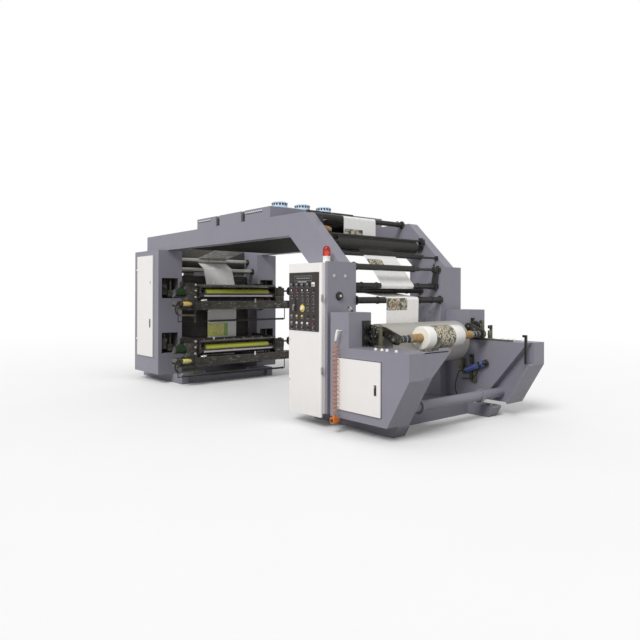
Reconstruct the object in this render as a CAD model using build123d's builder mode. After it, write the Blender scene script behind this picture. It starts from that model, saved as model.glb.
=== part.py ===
from build123d import *
import math
import os

# Flexographic printing press, four colours, stack type with a walk-through arch.
# Frame: origin on the floor under the middle of the machine, +X along the machine
# towards the winding end, -Y the operator side, +Z up. Millimetres.

# Named clearances
RUN_GAP = 0.3          # between a turning piece and what stands beside it
SEAT_GAP = 0.5         # behind a closed door
WEB_GAP = 0.3          # between the film and a roller
HOSE_GAP = 6.0         # between the hanging hose and the cover behind it
FILM_THICK = 1.5       # the film web, thicker than the real one

# Printing tower
PRINT_CENTRE_X = -2545.0
PRINT_FRAME_LENGTH = 980.0
PRINT_FRAME_HALF_WIDTH = 1237.0
FRAME_THICK = 446.0
PLINTH_HEIGHT = 160.0
FRAME_TOP = 2306.0
PRINT_BASE_LENGTH = 1570.0
BASE_HALF_WIDTH = 940.0
PRINT_BASE_CENTRE_X = -2535.0

# Bridge over the walkway
BEAM_OUTER = 1067.0
BEAM_THICK = 180.0
BEAM_LEFT_X = -2886.0
BEAM_TOP = 2582.0
BEAM_BEND_INNER_X = 1452.0
BEAM_BEND_OUTER_X = 1754.0
ARM_FOOT_X = 1865.0
HOOD_X0 = -990.0
HOOD_X1 = 1028.0
HOOD_HEIGHT = 151.0
HOOD_GROOVES = (-403.0, 303.0)
FLOOR_PANEL_THICK = 16.0
FLOOR_PANEL_X0 = -1570.0
FAN_X = 860.0
FAN_Y = (-790.0, -390.0, 10.0)
FAN_RADIUS = 118.0
FAN_SIDES = 16
FAN_HEIGHT = 96.0

# Winding tower
WIND_FRAME_X1 = 2418.0
WIND_FRAME_TOP = 1930.0
WIND_BASE_X0 = 1828.0
WIND_BASE_X1 = 2877.0
WIND_BASE_HEIGHT = 176.0
FOOT_X1 = 3260.0
FOOT_WIDTH = 184.0
FOOT_HEIGHT = 145.0
FOOT_RAKE = 70.0

# Low housings beside the winder
HOUSING_OUTER = 1258.0
HOUSING_BLOCK_X = 2800.0
HOUSING_BLOCK_LENGTH = 304.0
HOUSING_NOSE_LENGTH = 880.0
HOUSING_WALL = 231.0
HOUSING_THICK = 343.0
HOUSING_TOP = 959.0
HOUSING_SLANT_TOP = 685.0
HOUSING_SLANT_RUN = 303.0
HOUSING_INNER_SLANT_RUN = 693.0
HOUSING_BLOCK_TOP = 1347.0
SLANT_PLATE = 26.0

# Control cabinet
CABINET_X0 = 1753.0
CABINET_X1 = 2373.0
CABINET_Z0 = 135.0
CABINET_Z1 = 1914.0
CABINET_FRONT = -1300.0
CABINET_DOOR_THICK = 28.0
CABINET_DEPTH = 200.0
CABINET_WALL = 18.0
CABINET_CORNER = 24.0
CABINET_SKIRT = 41.0
PANEL_SIDE = 24.0
PANEL_TOP = 107.0
PANEL_WIDTH = 565.0
PANEL_HEIGHT = 691.0
BEACON_X = 2332.0
BEACON_Y = -1180.0

# Doors and covers
DOOR_THICK = 20.0
TOWER_DOOR = (-2883.0, -2239.0, 449.0, 2217.0)
HOUSING_DOOR = (2633.0, 3298.0, 274.0, 843.0)
POCKET_RIM = 24.0
TOWER_POCKET_DEPTH = 140.0
KNUCKLE_RADIUS = 9.0
KNUCKLE_LENGTH = 32.0
KNUCKLE_GAP = 1.0
PIN_RADIUS = 4.0
HINGE_OFFSET = 12.0
CABINET_HINGE_Y = -1285.0
CABINET_HINGES = (674.0, 1507.0)
TOWER_HINGES = (720.0, 1960.0)

# Printing decks
DECK_HEIGHTS = {"upper": 1567.0, "lower": 620.0}
IMPRESSION_RADIUS = 110.0
PLATE_RADIUS = 150.0
ANILOX_RADIUS = 65.0
INK_RADIUS = 68.0
WEB_FRONT_X = -2020.0
ROLLER_HALF = 660.0
CHEEK_THICK = 30.0
JOURNAL_RADIUS = 22.0
PAN_THICK = 8.0
DECK_BEAM_TOP = -140.0       # of the beam under a deck, from the roller centre
DECK_BEAM_BOTTOM = -285.0
DECK_BEAM_HALF = 1190.0
WHEEL_RADIUS = 78.0
WIRE_HALF = 1100.0
WIRE_RADIUS = 8.0
WIRE_DROPS = (200.0, 182.0)

# Film path
FILM_HALF = 300.0
IDLER_RADIUS = 40.0
TOP_ROLLER_X = 1616.0
TOP_ROLLER_Z = 2572.0
TOP_ROLLER_RADIUS = 36.0
PULL_X = 1970.0
PULL_Z = 2205.0
PULL_RADIUS = 92.0
PULL_HALF = 740.0
SPREADER_X = 2370.0
SPREADER_Z = 1885.0

# Winder
DRUM_INSET = 105.0
DRUM_Z = 950.0
DRUM_RADIUS = 256.0
DRUM_END_GAP = 60.0
DRUM_JOURNAL = 38.0
ROLL_RADIUS = 135.0
ROLL_HALF = 300.0
ROLL_Z = 1048.0
CORE_RADIUS = 50.0
CORE_HALF = 560.0
SHAFT_RADIUS = 30.0
SHAFT_HALF = 850.0
ARM_INSET = 140.0
ARM_THICK = 30.0
ARM_PIVOT_RUN = 80.0
ARM_PIVOT_Z = 1130.0

# Places of the guide rollers in X and Z
IDLERS = {
    "feed": (-2920.0, 330.0),
    "top_rear": (-2910.0, 1985.0),
    "top_centre": (-2580.0, 1985.0),
    "foot_centre": (-2500.0, 300.0),
    "foot_front": (-2150.0, 330.0),
    "top_front": (-2210.0, 1985.0),
    "tower_exit": (-2390.0, 2170.0),
    "bridge_entry": (-900.0, 2415.0),
    "behind_pull": (1696.0, 2170.0),
    "fold": (2330.0, 1660.0),
    "back": (2060.0, 1600.0),
    "front_idler": (2410.0, 1478.0),
    "brush_bar": (2030.0, 2302.0),
    "static_bar": (2272.0, 2054.0),
}
NIP_RADIUS = 30.0
THIN_IDLER_RADIUS = 35.0

# Smaller fittings
TUBE_X = 3210.0
TUBE_Z = 300.0
HOSE_X = 2664.0
COIL_RADIUS = 38.0
COIL_Z0 = 213.0
COIL_Z1 = 1032.0
HANDLE_DEPTH = 8.0
CYLINDER_START = (2745.0, 536.0)
CYLINDER_END = (3105.0, 683.0)
RAIL_LENGTH = 590.0
RAIL_X0 = 2820.0
RAIL_POSTS = ((2878.0, 1211.0), (3011.0, 1149.0))
HOOK_X = 3642.0
HOOK_Z0 = 703.0
HOOK_Z1 = 1057.0

# Sizes that follow from the ones above
HOOD_TOP = BEAM_TOP + HOOD_HEIGHT
HOUSING_X0 = HOUSING_BLOCK_X - HOUSING_BLOCK_LENGTH
HOUSING_X1 = HOUSING_BLOCK_X + HOUSING_NOSE_LENGTH
HOUSING_SLANT_X = HOUSING_X1 - HOUSING_SLANT_RUN
HOUSING_INNER_SLANT_X = HOUSING_X1 - HOUSING_INNER_SLANT_RUN
FRAME_INNER = PRINT_FRAME_HALF_WIDTH - FRAME_THICK
FRAME_X0 = PRINT_CENTRE_X - PRINT_FRAME_LENGTH / 2
FRAME_X1 = PRINT_CENTRE_X + PRINT_FRAME_LENGTH / 2
BEAM_INNER = BEAM_OUTER - BEAM_THICK
HOUSING_INNER = HOUSING_OUTER - HOUSING_THICK
ARM_Y = HOUSING_INNER - ARM_INSET
ARM_PIVOT_X = HOUSING_BLOCK_X + ARM_PIVOT_RUN
DRUM_X = HOUSING_BLOCK_X - DRUM_INSET
DRUM_HALF = ARM_Y - DRUM_END_GAP
IMPRESSION_X = WEB_FRONT_X - IMPRESSION_RADIUS - WEB_GAP
PLATE_X = WEB_FRONT_X + FILM_THICK + WEB_GAP + PLATE_RADIUS
ANILOX_X = PLATE_X + PLATE_RADIUS + RUN_GAP + ANILOX_RADIUS
INK_X = ANILOX_X + ANILOX_RADIUS + RUN_GAP + INK_RADIUS
ROLL_GAP = ROLL_RADIUS + DRUM_RADIUS + RUN_GAP
ROLL_X = DRUM_X + math.sqrt(ROLL_GAP ** 2 - (ROLL_Z - DRUM_Z) ** 2)

os.makedirs("parts", exist_ok=True)


def save(node, label):
    """Label a finished piece and write it as its own node."""
    node.part.label = label
    export_step(node.part, f"parts/{label}.step")


def block(x0, x1, y0, y1, z0, z1, mode=Mode.ADD):
    """A box between two corners, inside the running part."""
    with Locations(((x0 + x1) / 2, (y0 + y1) / 2, (z0 + z1) / 2)):
        Box(x1 - x0, y1 - y0, z1 - z0, mode=mode)


def bar(x, z, radius, y0, y1, mode=Mode.ADD):
    """A round bar along Y between two places."""
    with BuildSketch(Plane.XZ.offset(-y1)) as ring:
        with Locations((x, z)):
            Circle(radius)
    extrude(ring.sketch, amount=y1 - y0, mode=mode)


def post(x, y, radius, z0, z1, mode=Mode.ADD):
    """A round bar along Z between two heights."""
    with BuildSketch(Plane.XY.offset(z0)) as ring:
        with Locations((x, y)):
            Circle(radius)
    extrude(ring.sketch, amount=z1 - z0, mode=mode)


def roller(x, z, radius, half, journal, journal_half):
    """A roller along Y with a journal at each end."""
    bar(x, z, radius, -half, half)
    bar(x, z, journal, -journal_half, journal_half)


def plate_xz(points, y0, y1, mode=Mode.ADD):
    """A flat plate with a straight-sided outline in X and Z."""
    with BuildSketch(Plane.XZ.offset(-y1)) as outline:
        with BuildLine():
            Polyline(*points, close=True)
        make_face()
    extrude(outline.sketch, amount=y1 - y0, mode=mode)


def mirrored(source, label, plane=Plane.XZ):
    """Write the mirror image of a finished piece."""
    with BuildPart() as twin:
        mirror(source.part, about=plane)
    save(twin, label)
    return twin


def fixed_knuckle(x, y, z):
    """Lower knuckle of a lift-off hinge with its pin, inside the part that stands still."""
    post(x, y, KNUCKLE_RADIUS, z - KNUCKLE_LENGTH, z)
    post(x, y, PIN_RADIUS, z, z + KNUCKLE_LENGTH - 6)


def moving_knuckle(x, y, z, leaf_x):
    """Upper knuckle of a lift-off hinge and its leaf, inside the door that it carries."""
    low = z + KNUCKLE_GAP
    high = z + KNUCKLE_LENGTH
    leaf = sorted((leaf_x, x))
    post(x, y, KNUCKLE_RADIUS, low, high)
    block(leaf[0], leaf[1], y - 5, y + 5, low, high)
    post(x, y, PIN_RADIUS + RUN_GAP, low, high, Mode.SUBTRACT)


# Printing tower: plinth
def make_print_base():
    x0 = PRINT_BASE_CENTRE_X - PRINT_BASE_LENGTH / 2
    x1 = PRINT_BASE_CENTRE_X + PRINT_BASE_LENGTH / 2
    channel_depth = 60.0
    flange = 22.0
    end_block = 120.0
    with BuildPart() as base:
        block(x0, x1, -BASE_HALF_WIDTH, BASE_HALF_WIDTH, 0, PLINTH_HEIGHT)
        inner = BASE_HALF_WIDTH - end_block
        block(x1 - channel_depth, x1, -inner, inner, flange, PLINTH_HEIGHT - flange, Mode.SUBTRACT)
        block(x0, x0 + channel_depth, -inner, inner, flange, PLINTH_HEIGHT - flange, Mode.SUBTRACT)
    save(base, "print_base")


# Printing tower: side frames, each a closed housing with a door pocket and deck windows
def make_print_frames():
    outer = -PRINT_FRAME_HALF_WIDTH
    door_x0, door_x1, door_z0, door_z1 = TOWER_DOOR
    window_depth = 230.0
    window_y0 = -1168.0
    window_y1 = -866.0
    window_height = 350.0
    window_rise = 80.0
    with BuildPart() as frame:
        block(FRAME_X0, FRAME_X1, outer, -FRAME_INNER, PLINTH_HEIGHT, FRAME_TOP)
        fillet(frame.edges().filter_by(Axis.Z).group_by(Axis.Y)[0], radius=10)
        block(door_x0 + POCKET_RIM, door_x1 - POCKET_RIM, outer, outer + TOWER_POCKET_DEPTH,
              door_z0 + POCKET_RIM, door_z1 - POCKET_RIM, Mode.SUBTRACT)
        for height in DECK_HEIGHTS.values():
            z0 = height + window_rise - window_height / 2
            z1 = height + window_rise + window_height / 2
            block(FRAME_X1 - window_depth, FRAME_X1, window_y0, window_y1, z0, z1, Mode.SUBTRACT)
            block(FRAME_X0, FRAME_X0 + window_depth, window_y0, window_y1, z0, z1, Mode.SUBTRACT)
    mirrored(frame, "drive_print_frame")
    hinge_x = door_x0 - HINGE_OFFSET
    hinge_y = outer - SEAT_GAP - DOOR_THICK
    with BuildPart() as hinged:
        add(frame.part)
        for z in TOWER_HINGES:
            fixed_knuckle(hinge_x, hinge_y, z)
            block(hinge_x - 4, hinge_x + 4, hinge_y, outer, z - KNUCKLE_LENGTH, z)
    save(hinged, "operator_print_frame")


# Bridge: beam that bends down into the arm on the winding tower
def make_beams():
    outline = [
        (BEAM_LEFT_X, FRAME_TOP),
        (BEAM_LEFT_X, BEAM_TOP),
        (BEAM_BEND_OUTER_X, BEAM_TOP),
        (WIND_FRAME_X1, WIND_FRAME_TOP),
        (ARM_FOOT_X, WIND_FRAME_TOP),
        (BEAM_BEND_INNER_X, FRAME_TOP),
    ]
    with BuildPart() as beam:
        plate_xz(outline, -BEAM_OUTER, -BEAM_INNER)
        fillet(beam.edges().filter_by(Axis.Y).group_by(Axis.Z)[-1], radius=12)
    save(beam, "operator_beam")
    mirrored(beam, "drive_beam")
    with BuildPart() as panel:
        block(FLOOR_PANEL_X0, BEAM_BEND_INNER_X, -BEAM_INNER, BEAM_INNER,
              FRAME_TOP, FRAME_TOP + FLOOR_PANEL_THICK)
    save(panel, "bridge_floor")


def fan_cowl(x, y, z):
    """A many-sided fan cowl: flared skirt, upright vanes and a sloping cap."""
    rise = (FAN_HEIGHT - 14) / 4
    for low, high, step, taper in ((z, z + rise, 0, 22), (z + rise, z + 3 * rise, 8, 0),
                                   (z + 3 * rise, z + 4 * rise, 0, 50)):
        with BuildSketch(Plane.XY.offset(low)) as ring:
            with Locations((x, y)):
                RegularPolygon(FAN_RADIUS - step, FAN_SIDES)
        extrude(ring.sketch, amount=high - low, taper=taper)


# Bridge: drying hood with its two cable grooves, and the exhaust fans on it
def make_hood():
    groove_width = 105.0
    groove_depth = 24.0
    with BuildPart() as hood:
        block(HOOD_X0, HOOD_X1, -BEAM_OUTER, BEAM_OUTER, BEAM_TOP, HOOD_TOP)
        for x in HOOD_GROOVES:
            block(x, x + groove_width, -BEAM_OUTER, -BEAM_OUTER + groove_depth,
                  BEAM_TOP, HOOD_TOP, Mode.SUBTRACT)
            block(x, x + groove_width, BEAM_OUTER - groove_depth, BEAM_OUTER,
                  BEAM_TOP, HOOD_TOP, Mode.SUBTRACT)
    save(hood, "drying_hood")
    curb = 14.0
    with BuildPart() as fans:
        block(FAN_X - FAN_RADIUS - 20, FAN_X + FAN_RADIUS + 20, FAN_Y[0] - 140, FAN_Y[-1] + 140,
              HOOD_TOP, HOOD_TOP + curb)
        for y in FAN_Y:
            fan_cowl(FAN_X, y, HOOD_TOP + curb)
    save(fans, "hood_fans")


# Winding tower: side frames, floor plinth and feet
def make_wind_frames():
    pocket_y1 = CABINET_FRONT + CABINET_DOOR_THICK + SEAT_GAP + CABINET_DEPTH
    with BuildPart() as frame:
        block(ARM_FOOT_X, WIND_FRAME_X1, -PRINT_FRAME_HALF_WIDTH, -FRAME_INNER,
              WIND_BASE_HEIGHT, WIND_FRAME_TOP)
    with BuildPart() as twin:
        mirror(frame.part, about=Plane.XZ)
    save(twin, "drive_wind_frame")
    with BuildPart() as notched:
        add(frame.part)
        block(ARM_FOOT_X, CABINET_X1, -PRINT_FRAME_HALF_WIDTH, pocket_y1,
              WIND_BASE_HEIGHT, WIND_FRAME_TOP, Mode.SUBTRACT)
    save(notched, "operator_wind_frame")


def make_wind_base():
    with BuildPart() as base:
        block(WIND_BASE_X0, WIND_BASE_X1, -BASE_HALF_WIDTH, BASE_HALF_WIDTH, 0, WIND_BASE_HEIGHT)
        for side in (-1, 1):
            y = side * (BASE_HALF_WIDTH - FOOT_WIDTH / 2 + 20)
            toe = [(WIND_BASE_X1 - 60, 0), (FOOT_X1 - FOOT_RAKE, 0), (FOOT_X1, FOOT_HEIGHT - 25),
                   (FOOT_X1, FOOT_HEIGHT), (WIND_BASE_X1 - 60, FOOT_HEIGHT)]
            plate_xz(toe, y - FOOT_WIDTH / 2, y + FOOT_WIDTH / 2)
    save(base, "wind_base")


# Control cabinet, let into the operator side of the winding tower
def make_cabinet():
    back_of_door = CABINET_FRONT + CABINET_DOOR_THICK + SEAT_GAP
    back = back_of_door + CABINET_DEPTH
    z0 = CABINET_Z0 + CABINET_SKIRT
    with BuildPart() as cabinet:
        block(CABINET_X0, CABINET_X1, back_of_door, back, z0, CABINET_Z1)
        block(CABINET_X0 + CABINET_WALL, CABINET_X1 - CABINET_WALL, back_of_door,
              back - CABINET_WALL, z0 + CABINET_WALL, CABINET_Z1 - CABINET_WALL, Mode.SUBTRACT)
        for z in CABINET_HINGES:
            fixed_knuckle(CABINET_X1 + HINGE_OFFSET, CABINET_HINGE_Y, z)
            block(CABINET_X1 + RUN_GAP, CABINET_X1 + 6, CABINET_HINGE_Y, back_of_door,
                  z - KNUCKLE_LENGTH, z)
            block(CABINET_X1, CABINET_X1 + 6, back_of_door, back_of_door + 26,
                  z - KNUCKLE_LENGTH, z)
    save(cabinet, "control_cabinet")
    make_cabinet_gear(back - CABINET_WALL, z0 + CABINET_WALL)


def make_cabinet_gear(back, floor):
    """Mounting plate with rows of switchgear and a drive, seen when the door is open."""
    plate = 5.0
    left = CABINET_X0 + CABINET_WALL + 20
    right = CABINET_X1 - CABINET_WALL - 20
    rows = ((250.0, 95.0, 5), (520.0, 80.0, 7), (790.0, 95.0, 4), (1060.0, 70.0, 8))
    with BuildPart() as gear:
        block(left, right, back - plate, back, floor + 60, CABINET_Z1 - CABINET_WALL - 30)
        for rise, height, count in rows:
            z = floor + rise
            block(left + 10, right - 10, back - plate - 12, back - plate, z - 18, z + 18)
            pitch = (right - left - 60) / count
            for index in range(count):
                x = left + 30 + index * pitch
                block(x, x + pitch - 6, back - plate - 70, back - plate - 12,
                      z - height / 2, z + height / 2)
        block(left + 40, left + 260, back - plate - 80, back - plate,
              floor + 1250, floor + 1570)
        block(left + 300, right - 40, back - plate - 66, back - plate,
              floor + 1300, floor + 1520)
    save(gear, "cabinet_gear")


def make_cabinet_door():
    with BuildPart() as door:
        block(CABINET_X0, CABINET_X1, CABINET_FRONT, CABINET_FRONT + CABINET_DOOR_THICK,
              CABINET_Z0, CABINET_Z1)
        fillet(door.edges().filter_by(Axis.Z).group_by(Axis.Y)[0], radius=CABINET_CORNER)
        for z in CABINET_HINGES:
            moving_knuckle(CABINET_X1 + HINGE_OFFSET, CABINET_HINGE_Y, z, CABINET_X1 - 4)
    save(door, "cabinet_door")
    panel_thick = 6.0
    with BuildPart() as panel:
        x0 = CABINET_X0 + PANEL_SIDE
        z1 = CABINET_Z1 - PANEL_TOP
        block(x0, x0 + PANEL_WIDTH, CABINET_FRONT - panel_thick, CABINET_FRONT,
              z1 - PANEL_HEIGHT, z1)
        fillet(panel.edges().filter_by(Axis.Y), radius=10)
    save(panel, "control_panel")
    with BuildPart() as beacon:
        x = BEACON_X
        y = BEACON_Y
        post(x, y, 34, CABINET_Z1, CABINET_Z1 + 56)
        post(x, y, 46, CABINET_Z1 + 56, CABINET_Z1 + 204)
        chamfer(beacon.edges().sort_by(Axis.Z)[-1], length=22)
    save(beacon, "warning_beacon")


# Doors and covers
def make_doors():
    x0, x1, z0, z1 = TOWER_DOOR
    face = -PRINT_FRAME_HALF_WIDTH - SEAT_GAP
    with BuildPart() as tower_door:
        block(x0, x1, face - DOOR_THICK, face, z0, z1)
        block(x1 - 110, x1 - 88, face - DOOR_THICK - HANDLE_DEPTH, face - DOOR_THICK,
              z0 + 521, z0 + 651)
        for z in TOWER_HINGES:
            moving_knuckle(x0 - HINGE_OFFSET, face - DOOR_THICK, z, x0 + 12)
    save(tower_door, "tower_door")
    with BuildPart() as drive_cover:
        block(x0, x1, PRINT_FRAME_HALF_WIDTH, PRINT_FRAME_HALF_WIDTH + DOOR_THICK, z0, z1)
    save(drive_cover, "drive_tower_cover")
    x0, x1, z0, z1 = HOUSING_DOOR
    with BuildPart() as cover:
        block(x0, x1, -HOUSING_OUTER - DOOR_THICK, -HOUSING_OUTER, z0, z1)
        block(x1 - 79, x1 - 57, -HOUSING_OUTER - DOOR_THICK - HANDLE_DEPTH,
              -HOUSING_OUTER - DOOR_THICK, z0 + 229, z0 + 323)
    save(cover, "operator_housing_cover")
    mirrored(cover, "drive_housing_cover")


# Low housings beside the winder: outer box, inner wedge and the slanted lower plate
def make_housings():
    slant = (HOUSING_X1 - HOUSING_SLANT_X, HOUSING_SLANT_TOP - WIND_BASE_HEIGHT)
    length = math.hypot(*slant)
    shift = (-SLANT_PLATE * slant[1] / length, SLANT_PLATE * slant[0] / length)
    outer = [
        (HOUSING_X0, WIND_BASE_HEIGHT),
        (HOUSING_SLANT_X, WIND_BASE_HEIGHT),
        (HOUSING_X1, HOUSING_SLANT_TOP),
        (HOUSING_X1, HOUSING_TOP),
        (HOUSING_BLOCK_X, HOUSING_TOP),
        (HOUSING_BLOCK_X, HOUSING_BLOCK_TOP),
        (HOUSING_X0, HOUSING_BLOCK_TOP),
    ]
    inner = [
        (WIND_FRAME_X1, WIND_BASE_HEIGHT),
        (HOUSING_INNER_SLANT_X, WIND_BASE_HEIGHT),
        (HOUSING_X1 - 25, HOUSING_TOP),
        (HOUSING_BLOCK_X, HOUSING_TOP),
        (HOUSING_BLOCK_X, HOUSING_BLOCK_TOP),
        (WIND_FRAME_X1, HOUSING_BLOCK_TOP),
    ]
    plate = [
        (HOUSING_SLANT_X, WIND_BASE_HEIGHT),
        (HOUSING_X1, HOUSING_SLANT_TOP),
        (HOUSING_X1 + shift[0], HOUSING_SLANT_TOP + shift[1]),
        (HOUSING_SLANT_X + shift[0], WIND_BASE_HEIGHT + shift[1]),
    ]
    step = -HOUSING_OUTER + HOUSING_WALL
    with BuildPart() as housing:
        plate_xz(outer, -HOUSING_OUTER, step)
        plate_xz(inner, step, -HOUSING_INNER)
        plate_xz(plate, step, -HOUSING_INNER)
        block(HOUSING_BLOCK_X - 70, HOUSING_BLOCK_X, -1042.0, -947.0, 985.0, 1240.0, Mode.SUBTRACT)
    save(housing, "operator_low_housing")
    mirrored(housing, "drive_low_housing")


def make_tie_tube():
    reach = HOUSING_OUTER - HOUSING_WALL
    with BuildPart() as tube:
        bar(TUBE_X, TUBE_Z, 60, -reach, reach)
        bar(TUBE_X, TUBE_Z, 84, 560, 584)
        bar(TUBE_X, TUBE_Z, 84, -584, -560)
    save(tube, "tie_tube")


# Printing decks: cheeks, rollers, ink pans and drives, on both sides of the tower
def deck_x(x, side):
    """X of a front deck piece, or of its twin on the rear side."""
    return x if side > 0 else 2 * PRINT_CENTRE_X - x


def deck_block(side, x0, x1, y0, y1, z0, z1, mode=Mode.ADD):
    """A box on a deck of either side."""
    ends = sorted((deck_x(x0, side), deck_x(x1, side)))
    block(ends[0], ends[1], y0, y1, z0, z1, mode)


def make_deck_side(name, side):
    nose = INK_X + 110
    root_x = FRAME_X1 - 120
    cheek_inner = FRAME_INNER - CHEEK_THICK
    with BuildPart() as cheeks:
        for height in DECK_HEIGHTS.values():
            for hand in (-1, 1):
                outline = [(root_x, height - 130), (nose - 70, height - 130), (nose, height - 50),
                           (nose, height + 90), (nose - 50, height + 150), (INK_X - 40, height + 150),
                           (PLATE_X, height + 175), (root_x, height + 175)]
                points = [(deck_x(x, side), z) for x, z in outline]
                y = hand * (FRAME_INNER - CHEEK_THICK / 2)
                plate_xz(points, y - CHEEK_THICK / 2, y + CHEEK_THICK / 2)
                for x, size in ((PLATE_X, 80), (ANILOX_X, 46), (INK_X, 46)):
                    outside = sorted((hand * FRAME_INNER, hand * (FRAME_INNER + 16)))
                    deck_block(side, x - size, x + size, outside[0], outside[1],
                               height - size, height + size)
    save(cheeks, f"{name}_deck_cheeks")
    with BuildPart() as pans:
        for height in DECK_HEIGHTS.values():
            ink_pan(deck_x(INK_X, side), side, height, cheek_inner)
    save(pans, f"{name}_ink_pans")
    with BuildPart() as bars:
        for height in DECK_HEIGHTS.values():
            deck_block(side, INK_X + 55, INK_X + 95, -cheek_inner, cheek_inner,
                       height + 118, height + 142)
    save(bars, f"{name}_top_bars")
    with BuildPart() as drives:
        for height in DECK_HEIGHTS.values():
            deck_drive(side, height)
    save(drives, f"{name}_deck_drives")
    with BuildPart() as rods:
        for height, drop in zip(DECK_HEIGHTS.values(), WIRE_DROPS):
            wire_frame(deck_x(INK_X - 60, side), height + DECK_BEAM_BOTTOM, drop)
    save(rods, f"{name}_wire_rods")


def ink_pan(x, side, height, half):
    """Half-round ink pan under a roller, cut low on the anilox side, on a foot."""
    outer = INK_RADIUS + 34
    with BuildSketch(Plane.XZ.offset(half)) as section:
        with Locations((x, height)):
            Circle(outer)
            Circle(outer - PAN_THICK, mode=Mode.SUBTRACT)
        with Locations((x, height + outer / 2 - 10)):
            Rectangle(2 * outer, outer, mode=Mode.SUBTRACT)
        with Locations((x - side * outer / 2, height - 30)):
            Rectangle(outer, 60, mode=Mode.SUBTRACT)
    extrude(section.sketch, amount=-2 * half)
    for y in (-half + 80, half - 80):
        block(x - 22, x + 22, y - 18, y + 18, height + DECK_BEAM_TOP, height - outer + 4)


def deck_drive(side, height):
    """Channel beam across the deck with the gearboxes, motors and adjusting wheel on its ends."""
    low = height + DECK_BEAM_BOTTOM
    top = height + DECK_BEAM_TOP
    deck_block(side, INK_X - 90, INK_X + 90, -DECK_BEAM_HALF, DECK_BEAM_HALF, low, top)
    deck_block(side, INK_X + 40, INK_X + 90, -DECK_BEAM_HALF + 40, DECK_BEAM_HALF - 40,
               low + 16, top - 16, Mode.SUBTRACT)
    outer = FRAME_INNER + 16
    for hand in (-1, 1):
        ends = sorted((hand * outer, hand * (outer + 190)))
        deck_block(side, INK_X - 100, INK_X + 60, ends[0], ends[1], top, height + 100)
        ends = sorted((hand * (outer + 40), hand * (outer + 150)))
        deck_block(side, ANILOX_X - 110, INK_X - 100, ends[0], ends[1], height - 110, height + 60)
    bar(deck_x(INK_X - 20, side), height, 60, -DECK_BEAM_HALF + 20, -outer - 190)
    bar(deck_x(ANILOX_X - 60, side), height - 60, 26, -DECK_BEAM_HALF + 60, -outer - 150)
    wheel_x = deck_x(INK_X - 30, side)
    bar(wheel_x, height + 40, 16, outer + 190, DECK_BEAM_HALF + 40)
    with BuildSketch(Plane.XZ.offset(-DECK_BEAM_HALF - 10)) as rim:
        with Locations((wheel_x, height + 40)):
            RegularPolygon(WHEEL_RADIUS, 14)
            RegularPolygon(WHEEL_RADIUS - 18, 14, mode=Mode.SUBTRACT)
            Rectangle(2 * WHEEL_RADIUS - 24, 16)
            Rectangle(16, 2 * WHEEL_RADIUS - 24)
    extrude(rim.sketch, amount=22)


def wire_frame(x, z, drop):
    """Bent rod that hangs under a deck beam: two legs and a long rung."""
    with BuildLine() as path:
        Polyline((x, -WIRE_HALF, z), (x, -WIRE_HALF, z - drop), (x, WIRE_HALF, z - drop),
                 (x, WIRE_HALF, z))
    with BuildSketch(Plane(origin=(x, -WIRE_HALF, z), z_dir=(0, 0, -1))) as section:
        Circle(WIRE_RADIUS)
    sweep(section.sketch, path=path.line, transition=Transition.RIGHT)


def make_deck_rollers():
    cheek_inner = FRAME_INNER - CHEEK_THICK
    rows = (("impression_rollers", IMPRESSION_X, IMPRESSION_RADIUS),
            ("plate_cylinders", PLATE_X, PLATE_RADIUS),
            ("anilox_rollers", ANILOX_X, ANILOX_RADIUS))
    for label, x, radius in rows:
        with BuildPart() as rollers:
            for height in DECK_HEIGHTS.values():
                for side in (1, -1):
                    bar(deck_x(x, side), height, radius, -cheek_inner, cheek_inner)
        save(rollers, label)
    for tier, height in DECK_HEIGHTS.items():
        for name, side in (("front", 1), ("rear", -1)):
            with BuildPart() as ink:
                roller(deck_x(INK_X, side), height, INK_RADIUS, ROLLER_HALF,
                       JOURNAL_RADIUS, cheek_inner - RUN_GAP)
            save(ink, f"{name}_{tier}_ink_roller")


# Film path: each roller as (x, z, radius, turn), turn +1 clockwise seen from the operator
def film_route():
    imp = IMPRESSION_RADIUS
    upper = DECK_HEIGHTS["upper"]
    lower = DECK_HEIGHTS["lower"]
    rear = deck_x(IMPRESSION_X, -1)
    places = {
        "feed": (*IDLERS["feed"], IDLER_RADIUS, 1),
        "rear_lower": (rear, lower, imp, 1),
        "rear_upper": (rear, upper, imp, 1),
        "top_rear": (*IDLERS["top_rear"], IDLER_RADIUS, 1),
        "top_centre": (*IDLERS["top_centre"], IDLER_RADIUS, 1),
        "foot_centre": (*IDLERS["foot_centre"], IDLER_RADIUS, -1),
        "foot_front": (*IDLERS["foot_front"], IDLER_RADIUS, -1),
        "front_lower": (IMPRESSION_X, lower, imp, -1),
        "front_upper": (IMPRESSION_X, upper, imp, -1),
        "top_front": (*IDLERS["top_front"], IDLER_RADIUS, -1),
        "tower_exit": (*IDLERS["tower_exit"], IDLER_RADIUS, 1),
        "bridge_entry": (*IDLERS["bridge_entry"], IDLER_RADIUS, 1),
        "bridge_exit": (TOP_ROLLER_X, TOP_ROLLER_Z, TOP_ROLLER_RADIUS, 1),
        "behind_pull": (*IDLERS["behind_pull"], IDLER_RADIUS, -1),
        "nip": (PULL_X + 10, PULL_Z - PULL_RADIUS - NIP_RADIUS - 4, NIP_RADIUS, 1),
        "fold": (*IDLERS["fold"], THIN_IDLER_RADIUS, 1),
        "back": (*IDLERS["back"], THIN_IDLER_RADIUS, -1),
        "front_idler": (*IDLERS["front_idler"], IDLER_RADIUS, 1),
        "drum": (DRUM_X, DRUM_Z, DRUM_RADIUS, -1),
    }
    return places


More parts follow.
